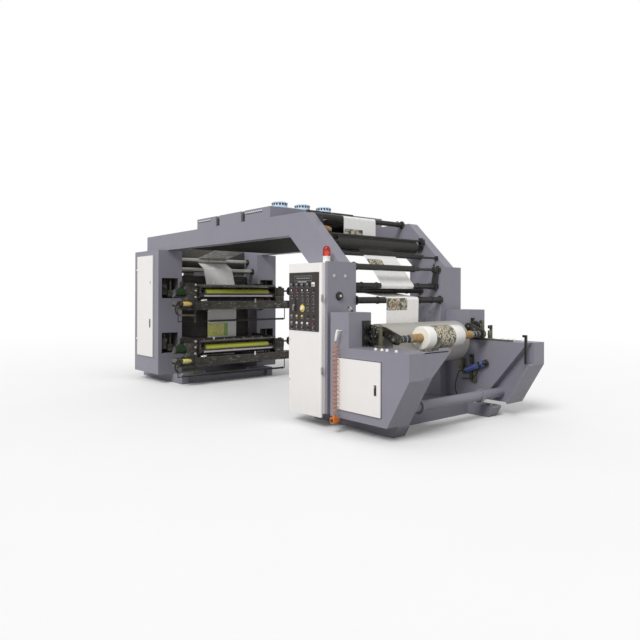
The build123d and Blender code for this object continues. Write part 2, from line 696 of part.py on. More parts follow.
def film_side(route, side, last_angle):
    """Lines and arcs of one face of the film, round each roller in turn."""
    centres = list(route.values())
    normals = []
    for a, b in zip(centres, centres[1:]):
        reach = a[3] * (a[2] + WEB_GAP + FILM_THICK / 2) - b[3] * (b[2] + WEB_GAP + FILM_THICK / 2)
        heading = math.atan2(b[1] - a[1], b[0] - a[0])
        span = math.hypot(b[0] - a[0], b[1] - a[1])
        normals.append(heading + math.acos(reach / span))
    starts = [normals[0] + math.radians(70) * centres[0][3]] + normals
    ends = normals + [normals[-1] - centres[-1][3] * math.radians(last_angle)]
    corners = []
    for (x, z, radius, turn), begin, end in zip(centres, starts, ends):
        r = radius + WEB_GAP + FILM_THICK / 2 + side * turn * FILM_THICK / 2
        middle = (begin + end) / 2
        corners.append([(x + turn * r * math.cos(a), z + turn * r * math.sin(a))
                        for a in (begin, middle, end)])
    return corners


def make_film():
    route = film_route()
    with BuildPart() as film:
        with BuildSketch(Plane.XZ) as section:
            with BuildLine():
                faces = [film_side(route, side, 178.0) for side in (1, -1)]
                for corners in faces:
                    for arc in corners:
                        ThreePointArc(*arc)
                    for here, there in zip(corners, corners[1:]):
                        Line(here[2], there[0])
                Line(faces[0][0][0], faces[1][0][0])
                Line(faces[0][-1][2], faces[1][-1][2])
            make_face()
        extrude(section.sketch, amount=FILM_HALF, both=True)
    save(film, "film_web")


def make_guide_rollers():
    route = film_route()
    with BuildPart() as rollers:
        for name in ("feed", "top_rear", "top_centre", "foot_centre", "foot_front"):
            x, z, radius, turn = route[name]
            bar(x, z, radius, -FRAME_INNER, FRAME_INNER)
        for name in ("top_front", "tower_exit"):
            x, z, radius, turn = route[name]
            roller(x, z, radius, 0.923 * FRAME_INNER, 18, FRAME_INNER)
    save(rollers, "tower_guide_rollers")
    with BuildPart() as rollers:
        for name in ("bridge_entry", "behind_pull", "nip"):
            x, z, radius, turn = route[name]
            bar(x, z, radius, -BEAM_INNER, BEAM_INNER)
        x, z, radius, turn = route["bridge_exit"]
        roller(x, z, radius, 0.89 * BEAM_INNER, 16, BEAM_INNER)
        for name in ("brush_bar", "static_bar"):
            bar(*IDLERS[name], 15, -BEAM_INNER, BEAM_INNER)
    save(rollers, "bridge_guide_rollers")
    with BuildPart() as rollers:
        for name in ("fold", "back", "front_idler"):
            x, z, radius, turn = route[name]
            bar(x, z, radius, -FRAME_INNER, FRAME_INNER)
        bar(SPREADER_X, SPREADER_Z, 18, -FRAME_INNER, FRAME_INNER)
        bar(SPREADER_X, SPREADER_Z, 38, -FRAME_INNER + 20, 260)
    save(rollers, "wind_guide_rollers")
    fold_x, fold_z = IDLERS["fold"]
    with BuildPart() as link:
        with BuildSketch(Plane.XZ.offset(-FRAME_INNER + 27)) as outline:
            with BuildLine():
                Polyline((SPREADER_X - 30, SPREADER_Z + 30), (SPREADER_X + 30, SPREADER_Z + 30),
                         (SPREADER_X + 30, SPREADER_Z - 30), (fold_x + 44, fold_z - 40),
                         (fold_x - 44, fold_z - 40), (fold_x - 30, fold_z + 40), close=True)
            make_face()
            with Locations((SPREADER_X, SPREADER_Z)):
                Circle(18, mode=Mode.SUBTRACT)
            with Locations((fold_x, fold_z)):
                Circle(THIN_IDLER_RADIUS, mode=Mode.SUBTRACT)
        extrude(outline.sketch, amount=28)
    save(link, "roller_bracket")
    with BuildPart() as pull:
        roller(PULL_X, PULL_Z, PULL_RADIUS, PULL_HALF, 30, BEAM_INNER - RUN_GAP)
    save(pull, "pull_roller")


# Winder: drum, wound roll on its shaft, arms, rails and the air cylinder
def make_winder():
    with BuildPart() as drum:
        roller(DRUM_X, DRUM_Z, DRUM_RADIUS, DRUM_HALF, DRUM_JOURNAL, HOUSING_INNER - RUN_GAP)
    save(drum, "rewind_drum")
    with BuildPart() as wound:
        bar(ROLL_X, ROLL_Z, ROLL_RADIUS, -ROLL_HALF, ROLL_HALF)
        bar(ROLL_X, ROLL_Z, CORE_RADIUS, -ROLL_HALF, ROLL_HALF, Mode.SUBTRACT)
    save(wound, "film_roll")
    with BuildPart() as shaft:
        bar(ROLL_X, ROLL_Z, CORE_RADIUS, -CORE_HALF, CORE_HALF)
        bar(ROLL_X, ROLL_Z, SHAFT_RADIUS, -SHAFT_HALF, SHAFT_HALF)
    save(shaft, "winding_shaft")
    with BuildPart() as arms:
        for hand in (-1, 1):
            roll_arm(hand)
    save(arms, "roll_arms")


def roll_arm(hand):
    """Forked arm from its pivot on the housing to the eye round the winding shaft."""
    inner = sorted((hand * ARM_Y, hand * (ARM_Y + ARM_THICK)))
    with BuildSketch(Plane.XZ.offset(-inner[1])) as outline:
        with Locations((ROLL_X, ROLL_Z)):
            Circle(62)
        with Locations((ARM_PIVOT_X, ARM_PIVOT_Z)):
            Circle(52)
        make_hull()
        with Locations((ROLL_X, ROLL_Z)):
            Circle(SHAFT_RADIUS + RUN_GAP, mode=Mode.SUBTRACT)
    extrude(outline.sketch, amount=ARM_THICK)
    pivot = sorted((hand * (ARM_Y - 20), hand * (HOUSING_INNER + 24)))
    bar(ARM_PIVOT_X, ARM_PIVOT_Z, 34, pivot[0], pivot[1])
    stand = sorted((hand * HOUSING_INNER, hand * (HOUSING_INNER + 24)))
    base = [(HOUSING_BLOCK_X, HOUSING_TOP), (ARM_PIVOT_X + 110, HOUSING_TOP),
            (ARM_PIVOT_X + 50, ARM_PIVOT_Z + 60), (ARM_PIVOT_X - 50, ARM_PIVOT_Z + 60)]
    plate_xz(base, stand[0], stand[1])


def make_winder_fittings():
    cylinder_y = HOUSING_INNER - 48
    start = Vector(CYLINDER_START[0], cylinder_y, CYLINDER_START[1])
    end = Vector(CYLINDER_END[0], cylinder_y, CYLINDER_END[1])
    along = (end - start).normalized()
    with BuildPart() as cylinder:
        for begin, reach, radius in ((0.0, 300.0, 32.0), (300.0, 90.0, 11.0)):
            with BuildSketch(Plane(origin=start + along * begin, z_dir=along)) as ring:
                Circle(radius)
            extrude(ring.sketch, amount=reach)
        for begin in (0.0, 270.0, 370.0):
            side = 74 if begin < 300 else 40
            with BuildSketch(Plane(origin=start + along * begin, x_dir=(0, 1, 0), z_dir=along)) as cap:
                Rectangle(side, side)
            extrude(cap.sketch, amount=30)
        block(start.X + 95, start.X + 135, cylinder_y, HOUSING_INNER, start.Z - 106, start.Z + 224)
    save(cylinder, "air_cylinder")
    with BuildPart() as rail:
        inner = HOUSING_INNER + 25
        block(RAIL_X0, RAIL_X0 + RAIL_LENGTH, inner, inner + 60, HOUSING_TOP, HOUSING_TOP + 20)
        for x, top in RAIL_POSTS:
            block(x - 45, x + 45, inner + 60, inner + 190, HOUSING_TOP, HOUSING_TOP + 14)
            post(x, inner + 160, 20, HOUSING_TOP, top)
    save(rail, "side_rail")
    with BuildPart() as hook:
        block(HOOK_X - 14, HOOK_X + 14, HOUSING_INNER - 24, HOUSING_INNER, HOOK_Z0, HOOK_Z1)
        block(HOOK_X - 42, HOOK_X + 14, HOUSING_INNER - 24, HOUSING_INNER, HOOK_Z1 - 28, HOOK_Z1)
    save(hook, "hook_bracket")


# Coiled air hose with its blow gun and outlet
def make_hose():
    x = HOSE_X
    y = -HOUSING_OUTER - DOOR_THICK - HANDLE_DEPTH - COIL_RADIUS - HOSE_GAP
    with BuildPart() as hose:
        post(x, y, COIL_RADIUS, COIL_Z0, COIL_Z1)
    save(hose, "coiled_hose")
    with BuildPart() as gun:
        handle = [(x - 14, COIL_Z1), (x + 14, COIL_Z1), (x + 16, COIL_Z1 + 98),
                  (x + 62, COIL_Z1 + 132), (x + 56, COIL_Z1 + 148), (x - 2, COIL_Z1 + 152),
                  (x - 16, COIL_Z1 + 128)]
        plate_xz(handle, y - 13, y + 13)
        block(x - 9, x + 9, y, -HOUSING_OUTER, COIL_Z1 + 108, COIL_Z1 + 126)
    save(gun, "blow_gun")
    with BuildPart() as outlet:
        block(x - 52, x + 16, y - 34, y + 34, COIL_Z0 - 93, COIL_Z0 - 25)
        post(x - 20, y, 20, COIL_Z0 - 25, COIL_Z0)
        block(x - 34, x - 2, y, -HOUSING_OUTER, COIL_Z0 - 73, COIL_Z0 - 37)
        chamfer(outlet.edges().filter_by(Axis.Y).group_by(Axis.Z)[0], length=16)
    save(outlet, "hose_outlet")


make_print_base()
make_print_frames()
make_beams()
make_hood()
make_wind_frames()
make_wind_base()
make_cabinet()
make_cabinet_door()
make_doors()
make_housings()
make_tie_tube()
for deck_name, deck_side in (("front", 1), ("rear", -1)):
    make_deck_side(deck_name, deck_side)
make_deck_rollers()
make_film()
make_guide_rollers()
make_winder()
make_winder_fittings()
make_hose()
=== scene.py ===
"""Looks of a four-colour flexographic press with a walk-through arch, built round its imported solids.

Metres, in the machine's own frame: +X towards the winding end, -Y the operator side, +Z up.
"""

import logging
import math
from dataclasses import dataclass, replace
from enum import Enum
from functools import cache

import bmesh
import bpy
from mathutils import Matrix, Vector

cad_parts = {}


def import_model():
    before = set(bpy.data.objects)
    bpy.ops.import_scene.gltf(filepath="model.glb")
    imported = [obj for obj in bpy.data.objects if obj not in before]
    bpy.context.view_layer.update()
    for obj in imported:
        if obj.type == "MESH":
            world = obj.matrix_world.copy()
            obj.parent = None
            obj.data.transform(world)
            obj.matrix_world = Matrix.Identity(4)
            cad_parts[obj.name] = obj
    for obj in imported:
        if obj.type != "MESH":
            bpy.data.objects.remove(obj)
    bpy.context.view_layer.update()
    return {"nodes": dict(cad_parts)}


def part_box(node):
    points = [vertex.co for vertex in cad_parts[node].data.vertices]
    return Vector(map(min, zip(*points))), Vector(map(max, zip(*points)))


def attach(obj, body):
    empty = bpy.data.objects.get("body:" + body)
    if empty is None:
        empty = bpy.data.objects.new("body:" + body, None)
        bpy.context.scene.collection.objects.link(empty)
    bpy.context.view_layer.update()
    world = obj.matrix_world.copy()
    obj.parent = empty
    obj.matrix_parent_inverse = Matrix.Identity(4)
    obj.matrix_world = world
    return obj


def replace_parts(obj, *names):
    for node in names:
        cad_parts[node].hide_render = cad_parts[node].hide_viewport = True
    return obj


LOG = logging.getLogger("press")
ROLL_CENTRE = (3.07383, 1.048)
DECK_HEIGHTS = {"upper": 1.567, "lower": 0.62}
FRAME_INNER = 0.791
BEAM_INNER = 0.887
Socket = bpy.types.NodeSocket
Pair = tuple[float, float]
Colour = tuple[float, float, float]
Point = tuple[float, float, float] | Vector
ALONG, ACROSS, UP = Vector((1, 0, 0)), Vector((0, 1, 0)), Vector((0, 0, 1))


def srgb(red: int, green: int, blue: int) -> Colour:
    """Turns a colour written in steps of 255 into the linear values that a shader takes.

    Args:
        red: red part, 0 to 255.
        green: green part, 0 to 255.
        blue: blue part, 0 to 255.

    Returns:
        The three linear parts.
    """
    def linear(step: int) -> float:
        """One part made linear."""
        part = step / 255
        return part / 12.92 if part <= 0.04045 else ((part + 0.055) / 1.055) ** 2.4

    return linear(red), linear(green), linear(blue)


def around(count: int, radius: float, phase: float = 0.0) -> list[Pair]:
    """Places spread evenly round a circle, counted from its middle; phase turns them, in steps."""
    turns = [2 * math.pi * (step + phase) / count for step in range(count)]
    return [(radius * math.cos(turn), radius * math.sin(turn)) for turn in turns]


def shade(colour: Colour, factor: float) -> Colour:
    """The colour made lighter or darker, never beyond what a surface can reflect."""
    return tuple(min(0.96, part * factor) for part in colour)


class Axis(Enum):
    """A direction of the machine, by its place in a point."""

    X = 0
    Y = 1
    Z = 2


class Body(Enum):
    """The moving bodies that a piece can ride on."""

    FIXED = "root"
    CABINET_DOOR = "cabinet_door"
    TOWER_DOOR = "tower_door"
    DRUM = "rewind_drum"
    ROLL = "film_roll"
    PULL = "pull_roller"
    FRONT_UPPER_INK = "front_upper_ink_roller"
    FRONT_LOWER_INK = "front_lower_ink_roller"
    REAR_UPPER_INK = "rear_upper_ink_roller"
    REAR_LOWER_INK = "rear_lower_ink_roller"


class Sheet:
    """Writes the nodes of one material."""

    def __init__(self, name: str) -> None:
        """Starts an empty material with its output and its shader.

        Args:
            name: the material's name.
        """
        self.material = bpy.data.materials.new(name)
        self.material.use_nodes = True
        self.tree = self.material.node_tree
        self.tree.nodes.clear()
        self.output = self.add("ShaderNodeOutputMaterial")
        self.shader = self.add("ShaderNodeBsdfPrincipled")
        self.link(self.shader.outputs[0], self.output.inputs["Surface"])
        self.place = self.add("ShaderNodeTexCoord").outputs["Object"]

    def add(self, kind: str, **settings: object) -> bpy.types.Node:
        """Adds a node and sets its plain properties.

        Args:
            kind: the node's type name.
            **settings: properties of the node by name.

        Returns:
            The node.
        """
        node = self.tree.nodes.new(kind)
        for name, value in settings.items():
            setattr(node, name, value)
        return node

    def link(self, source: Socket, target: Socket) -> None:
        """Joins an output to an input."""
        self.tree.links.new(source, target)

    def set(self, **values: object) -> None:
        """Sets sockets of the shader, named with underscores for spaces."""
        for name, value in values.items():
            socket = self.shader.inputs[name.replace("_", " ")]
            socket.default_value = (*value, 1.0) if isinstance(value, tuple) else value

    def stretched(self, scale: Point) -> Socket:
        """The place on the object, stretched along each direction."""
        node = self.add("ShaderNodeMapping")
        self.link(self.place, node.inputs["Vector"])
        node.inputs["Scale"].default_value = scale
        return node.outputs[0]

    def noise(self, scale: float, detail: float = 3.0, stretch: Point = (1, 1, 1),
              roughness: float = 0.55) -> Socket:
        """Smooth noise over the object.

        Args:
            scale: features per metre.
            detail: how many finer layers.
            stretch: factor along each direction.
            roughness: weight of the finer layers.

        Returns:
            The noise value, about 0.25 to 0.75.
        """
        node = self.add("ShaderNodeTexNoise")
        node.inputs["Scale"].default_value = scale
        node.inputs["Detail"].default_value = detail
        node.inputs["Roughness"].default_value = roughness
        self.link(self.stretched(stretch), node.inputs["Vector"])
        return node.outputs["Fac"]

    def ramp(self, value: Socket, low: float = 0.3, high: float = 0.7, out_low: float = 0.0,
             out_high: float = 1.0) -> Socket:
        """Maps a range of values to another, held at its ends.

        Args:
            value: the value to map.
            low: start of its range.
            high: end of its range.
            out_low: result at the start.
            out_high: result at the end.

        Returns:
            The mapped value.
        """
        node = self.add("ShaderNodeMapRange")
        self.link(value, node.inputs["Value"])
        for name, number in (("From Min", low), ("From Max", high), ("To Min", out_low),
                             ("To Max", out_high)):
            node.inputs[name].default_value = number
        return node.outputs[0]

    def math(self, operation: str, first: object, second: object = 0.0) -> Socket:
        """Does one sum on two values, each a socket or a number."""
        node = self.add("ShaderNodeMath", operation=operation)
        for socket, value in zip(node.inputs, (first, second)):
            if isinstance(value, Socket):
                self.link(value, socket)
            else:
                socket.default_value = value
        return node.outputs[0]

    def blend(self, factor: Socket, first: object, second: object) -> Socket:
        """Mixes two colours, each a socket or a colour.

        Args:
            factor: 0 gives the first, 1 the second.
            first: colour or socket.
            second: colour or socket.

        Returns:
            The mixed colour.
        """
        node = self.add("ShaderNodeMix", data_type="RGBA")
        self.link(factor, node.inputs["Factor"])
        for socket, value in ((node.inputs[6], first), (node.inputs[7], second)):
            if isinstance(value, Socket):
                self.link(value, socket)
            else:
                socket.default_value = (*value, 1.0)
        return node.outputs[2]

    def steps(self, value: Socket, stops: tuple[tuple[float, Colour], ...]) -> Socket:
        """Flat colours by value, each from its stop to the next.

        Args:
            value: the value that chooses.
            stops: the start and colour of each step.

        Returns:
            The colour.
        """
        node = self.add("ShaderNodeValToRGB")
        band = node.color_ramp
        band.interpolation = "CONSTANT"
        while len(band.elements) < len(stops):
            band.elements.new(1.0)
        for element, (start, colour) in zip(band.elements, stops):
            element.position = start
            element.color = (*colour, 1.0)
        self.link(value, node.inputs[0])
        return node.outputs[0]

    def axis(self, axis: Axis) -> Socket:
        """The place along one direction of the machine."""
        node = self.add("ShaderNodeSeparateXYZ")
        self.link(self.place, node.inputs[0])
        return node.outputs[axis.value]

    def window(self, value: Socket, low: float, high: float, soft: float = 0.002) -> Socket:
        """1 between two values and 0 outside them.

        Args:
            value: the value to test.
            low: start of the window.
            high: end of the window.
            soft: width of its edges.

        Returns:
            The window.
        """
        rise = self.ramp(value, low - soft, low + soft)
        fall = self.ramp(value, high - soft, high + soft, 1.0, 0.0)
        return self.math("MULTIPLY", rise, fall)

    def colour(self, socket: Socket) -> None:
        """Gives the shader its colour."""
        self.link(socket, self.shader.inputs["Base Color"])

    def rough(self, socket: Socket) -> None:
        """Gives the shader its roughness."""
        self.link(socket, self.shader.inputs["Roughness"])

    def bump(self, height: Socket, distance: float) -> None:
        """Raises the surface by a height.

        Args:
            height: the height, 0 to 1.
            distance: its depth in metres.
        """
        node = self.add("ShaderNodeBump")
        node.inputs["Strength"].default_value = 1.0
        node.inputs["Distance"].default_value = distance
        self.link(height, node.inputs["Height"])
        self.link(node.outputs[0], self.shader.inputs["Normal"])


@dataclass(frozen=True)
class Finish:
    """A finish, whose kinds each write their own nodes."""

    name: str

    def make(self) -> bpy.types.Material:
        """The finish's material, with the nodes of its kind."""
        sheet = Sheet(self.name)
        self.paint(sheet)
        return sheet.material

    def paint(self, sheet: Sheet) -> None:
        """Writes the nodes of this kind of finish."""
        raise NotImplementedError


@dataclass(frozen=True)
class Coat(Finish):
    """Paint, powder coat, moulded plastic or rubber: one colour with its cloudiness and skin."""

    tint: Colour
    roughness: float = 0.4
    cloud: float = 0.05
    cloud_scale: float = 2.2
    skin: float = 0.00012
    skin_scale: float = 260.0
    metallic: float = 0.0
    soil: float = 0.0
    soil_top: float = 0.16
    coat: float = 0.0
    gloss: float = 0.5

    def paint(self, sheet: Sheet) -> None:
        """Writes the nodes of this kind of finish."""
        clouds = sheet.noise(self.cloud_scale, 4.0)
        body = sheet.blend(sheet.ramp(clouds), shade(self.tint, 1 - self.cloud),
                           shade(self.tint, 1 + self.cloud))
        streaks = sheet.noise(9.0, 3.0, (1, 1, 0.12))
        dust = sheet.math("MULTIPLY", sheet.ramp(sheet.axis(Axis.Z), 0.0, self.soil_top, 1.0, 0.0),
                          sheet.ramp(streaks, 0.35, 0.65, 0.3 * self.soil, self.soil))
        sheet.colour(sheet.blend(dust, body, shade(self.tint, 0.45)))
        grain = sheet.noise(self.skin_scale, 2.0)
        sheet.rough(sheet.ramp(sheet.noise(14.0, 3.0), 0.3, 0.7, self.roughness - 0.05,
                               self.roughness + 0.07))
        sheet.set(Metallic=self.metallic, Coat_Weight=self.coat, Specular_IOR_Level=self.gloss)
        sheet.bump(grain, self.skin)


@dataclass(frozen=True)
class OiledSteel(Finish):
    """Dark cast or blackened steel with oil stains, and bright patches that are partly worn metal and
    partly painted highlights.
    """

    tint: Colour
    stain: Colour
    bright: Colour
    worn: float = 0.35
    roughness: float = 0.42

    def paint(self, sheet: Sheet) -> None:
        """Writes the nodes of this kind of finish."""
        stains = sheet.ramp(sheet.noise(7.0, 5.0, roughness=0.65), 0.42, 0.62)
        body = sheet.blend(stains, self.tint, self.stain)
        # Bright patches: partly worn metal, partly painted highlights that stand in for glints on the
        # steel.
        wear_and_highlight = sheet.ramp(sheet.noise(26.0, 4.0, (1, 0.5, 1.6)), 0.58, 0.7, 0.0, self.worn)
        sheet.colour(sheet.blend(wear_and_highlight, body, self.bright))
        sheet.rough(sheet.ramp(sheet.noise(19.0, 3.0), 0.3, 0.7, self.roughness - 0.12,
                               self.roughness + 0.12))
        sheet.set(Metallic=0.45)
        sheet.bump(sheet.noise(120.0, 4.0), 0.0003)


@dataclass(frozen=True)
class GroundSteel(Finish):
    """Turned and ground metal with fine marks round its axis, which lies along Y."""

    tint: Colour
    roughness: float = 0.28
    metallic: float = 0.85
    marks: float = 0.12

    def paint(self, sheet: Sheet) -> None:
        """Writes the nodes of this kind of finish."""
        rings = sheet.noise(90.0, 3.0, (0.04, 1.0, 0.04))
        haze = sheet.noise(5.0, 4.0)
        mixed = sheet.math("MULTIPLY", sheet.ramp(rings), sheet.ramp(haze, 0.2, 0.8, 0.5, 1.0))
        sheet.colour(sheet.blend(mixed, shade(self.tint, 1 - self.marks),
                                 shade(self.tint, 1 + self.marks)))
        sheet.rough(sheet.ramp(rings, 0.3, 0.7, self.roughness - 0.06, self.roughness + 0.1))
        sheet.set(Metallic=self.metallic)
        sheet.bump(rings, 0.00008)


@dataclass(frozen=True)
class InkedRubber(Finish):
    """Ink roller covered with wet yellow-green ink, thicker in rings and thin near its ends."""

    ink: Colour
    thin: Colour
    rubber: Colour
    face: float = 0.655

    def paint(self, sheet: Sheet) -> None:
        """Writes the nodes of this kind of finish."""
        rings = sheet.noise(22.0, 4.0, (0.06, 1.0, 0.06))
        streaks = sheet.noise(30.0, 3.0, (1.0, 0.05, 1.0))
        wet = sheet.math("ADD", sheet.ramp(rings, 0.3, 0.7, 0.0, 0.55),
                         sheet.ramp(streaks, 0.35, 0.65, 0.0, 0.45))
        inked = sheet.blend(wet, self.ink, self.thin)
        along = sheet.math("ABSOLUTE", sheet.axis(Axis.Y))
        bare = sheet.ramp(along, self.face - 0.03, self.face - 0.008)
        journal = sheet.ramp(along, self.face + 0.003, self.face + 0.006)
        faced = sheet.blend(bare, inked, self.rubber)
        sheet.colour(sheet.blend(journal, faced, srgb(112, 110, 106)))
        sheet.rough(sheet.ramp(wet, 0.2, 0.9, 0.22, 0.38))
        sheet.set(Coat_Weight=0.35, Coat_Roughness=0.15)
        sheet.bump(rings, 0.0003)


def leaf_print(sheet: Sheet) -> Socket:
    """A plain generic print of small leafy patches in five inks.

    Args:
        sheet: the material's writer.

    Returns:
        The colour.
    """
    large = sheet.noise(13.0, 2.0, roughness=0.45)
    small = sheet.noise(34.0, 3.0, roughness=0.6)
    mixed = sheet.math("ADD", sheet.math("MULTIPLY", large, 0.68), sheet.math("MULTIPLY", small, 0.32))
    return sheet.steps(mixed, ((0.0, srgb(58, 56, 46)), (0.4, srgb(98, 104, 74)),
                               (0.45, srgb(150, 150, 132)), (0.485, srgb(222, 214, 198)),
                               (0.515, srgb(176, 148, 126)), (0.545, srgb(104, 84, 66)),
                               (0.59, srgb(178, 164, 116))))


@dataclass(frozen=True)
class PrintedFilm(Finish):
    """White plastic film with repeats of a plain generic print in a band along it."""

    prints: tuple[tuple[Point, Point], ...] = (((1.5, -0.29, 2.2), (1.8, 0.05, 2.435)),
                                               ((2.08, -0.29, 1.9), (2.48, -0.02, 2.05)),
                                               ((2.3, -0.3, 1.35), (2.6, 0.08, 1.505)),
                                               ((2.7, -0.25, 0.6), (3.0, 0.1, 1.0)))
    yellow: tuple[Point, Point] = ((-2.1, -0.31, 0.78), (-1.9, 0.04, 1.016))
    green: tuple[Point, Point] = ((-2.1, 0.04, 0.78), (-1.9, 0.12, 1.016))
    tan: tuple[Point, Point] = ((-2.1, -0.31, 0.22), (-1.9, 0.06, 0.455))

    def paint(self, sheet: Sheet) -> None:
        """Writes the nodes of this kind of finish."""
        white = sheet.blend(sheet.noise(3.0), srgb(246, 245, 243), srgb(235, 234, 232))
        cells = sheet.noise(24.0, 2.0, roughness=0.5)
        flat = sheet.steps(cells, ((0.0, srgb(226, 226, 90)), (0.46, srgb(238, 238, 150)),
                                   (0.56, srgb(214, 220, 78))))
        plain = sheet.blend(self.patch(sheet, self.yellow), white, flat)
        plain = sheet.blend(self.patch(sheet, self.green), plain, srgb(150, 190, 84))
        soft = sheet.steps(cells, ((0.0, srgb(186, 168, 134)), (0.47, srgb(220, 212, 196)),
                                   (0.57, srgb(170, 160, 140))))
        plain = sheet.blend(self.patch(sheet, self.tan), plain, soft)
        printed = None
        for corners in self.prints:
            patch = self.patch(sheet, corners)
            printed = patch if printed is None else sheet.math("MAXIMUM", printed, patch)
        sheet.colour(sheet.blend(printed, plain, leaf_print(sheet)))
        sheet.rough(sheet.ramp(sheet.noise(8.0), 0.3, 0.7, 0.2, 0.34))
        sheet.set(Coat_Weight=0.25, Coat_Roughness=0.1)
        sheet.bump(sheet.noise(6.0, 2.0, (1.0, 3.0, 0.4)), 0.0012)

    @staticmethod
    def patch(sheet: Sheet, corners: tuple[Point, Point]) -> Socket:
        """1 inside a box of the machine and 0 outside it.

        Args:
            sheet: the material's writer.
            corners: lowest and highest corner of the box.

        Returns:
            The mask.
        """
        mask = None
        for axis, low, high in zip(Axis, *corners):
            window = sheet.window(sheet.axis(axis), low, high)
            mask = window if mask is None else sheet.math("MULTIPLY", mask, window)
        return mask


@dataclass(frozen=True)
class WoundFilm(Finish):
    """The wound roll: printed band round it, and fine rings of film on its ends."""

    centre: Pair
    printed: Pair = (-0.25, 0.105)

    def paint(self, sheet: Sheet) -> None:
        """Writes the nodes of this kind of finish."""
        x = sheet.math("SUBTRACT", sheet.axis(Axis.X), self.centre[0])
        z = sheet.math("SUBTRACT", sheet.axis(Axis.Z), self.centre[1])
        radius = sheet.math("SQRT", sheet.math("ADD", sheet.math("MULTIPLY", x, x),
                                               sheet.math("MULTIPLY", z, z)))
        turns = sheet.math("SINE", sheet.math("MULTIPLY", radius, 2400.0))
        facing = sheet.add("ShaderNodeSeparateXYZ")
        sheet.link(sheet.add("ShaderNodeTexCoord").outputs["Normal"], facing.inputs[0])
        end = sheet.ramp(sheet.math("ABSOLUTE", facing.outputs["Y"]), 0.8, 0.86)
        angle = sheet.math("ARCTAN2", z, x)
        white = sheet.blend(sheet.noise(4.0), srgb(248, 246, 242), srgb(236, 233, 228))
        lapped = sheet.window(sheet.math("ABSOLUTE", angle), 0.0, 2.75)
        band = sheet.math("MULTIPLY", sheet.window(sheet.axis(Axis.Y), *self.printed), lapped)
        side = sheet.blend(band, white, leaf_print(sheet))
        rings = sheet.blend(sheet.ramp(turns, -1.0, 1.0), srgb(240, 236, 224), srgb(248, 245, 238))
        sheet.colour(sheet.blend(end, side, rings))
        sheet.rough(sheet.ramp(sheet.noise(8.0), 0.3, 0.7, 0.24, 0.36))
        sheet.set(Coat_Weight=0.2, Coat_Roughness=0.12)
        sheet.bump(sheet.noise(60.0, 2.0, (0.1, 1.0, 0.1)), 0.0004)


@dataclass(frozen=True)
class ShaftAndCore(Finish):
    """Winding shaft of ground steel that shows as brown card where the core covers it."""

    core_half: float

    def paint(self, sheet: Sheet) -> None:
        """Writes the nodes of this kind of finish."""
        spiral = sheet.noise(40.0, 3.0, (0.3, 1.0, 0.3))
        card = sheet.blend(sheet.ramp(spiral), srgb(150, 120, 78), srgb(184, 152, 104))
        steel = sheet.blend(sheet.ramp(spiral), srgb(96, 96, 98), srgb(140, 140, 142))
        along = sheet.math("ABSOLUTE", sheet.axis(Axis.Y))
        cut = sheet.ramp(along, self.core_half + 0.0004, self.core_half + 0.0014)
        sheet.colour(sheet.blend(cut, card, steel))
        sheet.rough(sheet.ramp(cut, 0.0, 1.0, 0.75, 0.3))
        sheet.link(sheet.ramp(cut, 0.0, 1.0, 0.0, 0.8), sheet.shader.inputs["Metallic"])
        sheet.bump(spiral, 0.0002)


@dataclass(frozen=True)
class Lens(Finish):
    """Clear tinted plastic with light in it."""

    tint: Colour
    glow: float = 0.0

    def paint(self, sheet: Sheet) -> None:
        """Writes the nodes of this kind of finish."""
        flow = sheet.noise(30.0)
        sheet.colour(sheet.blend(sheet.ramp(flow), shade(self.tint, 0.9), shade(self.tint, 1.1)))
        sheet.rough(sheet.ramp(flow, 0.3, 0.7, 0.08, 0.16))
        sheet.set(Transmission_Weight=0.35, IOR=1.49, Emission_Color=self.tint,
                  Emission_Strength=self.glow)


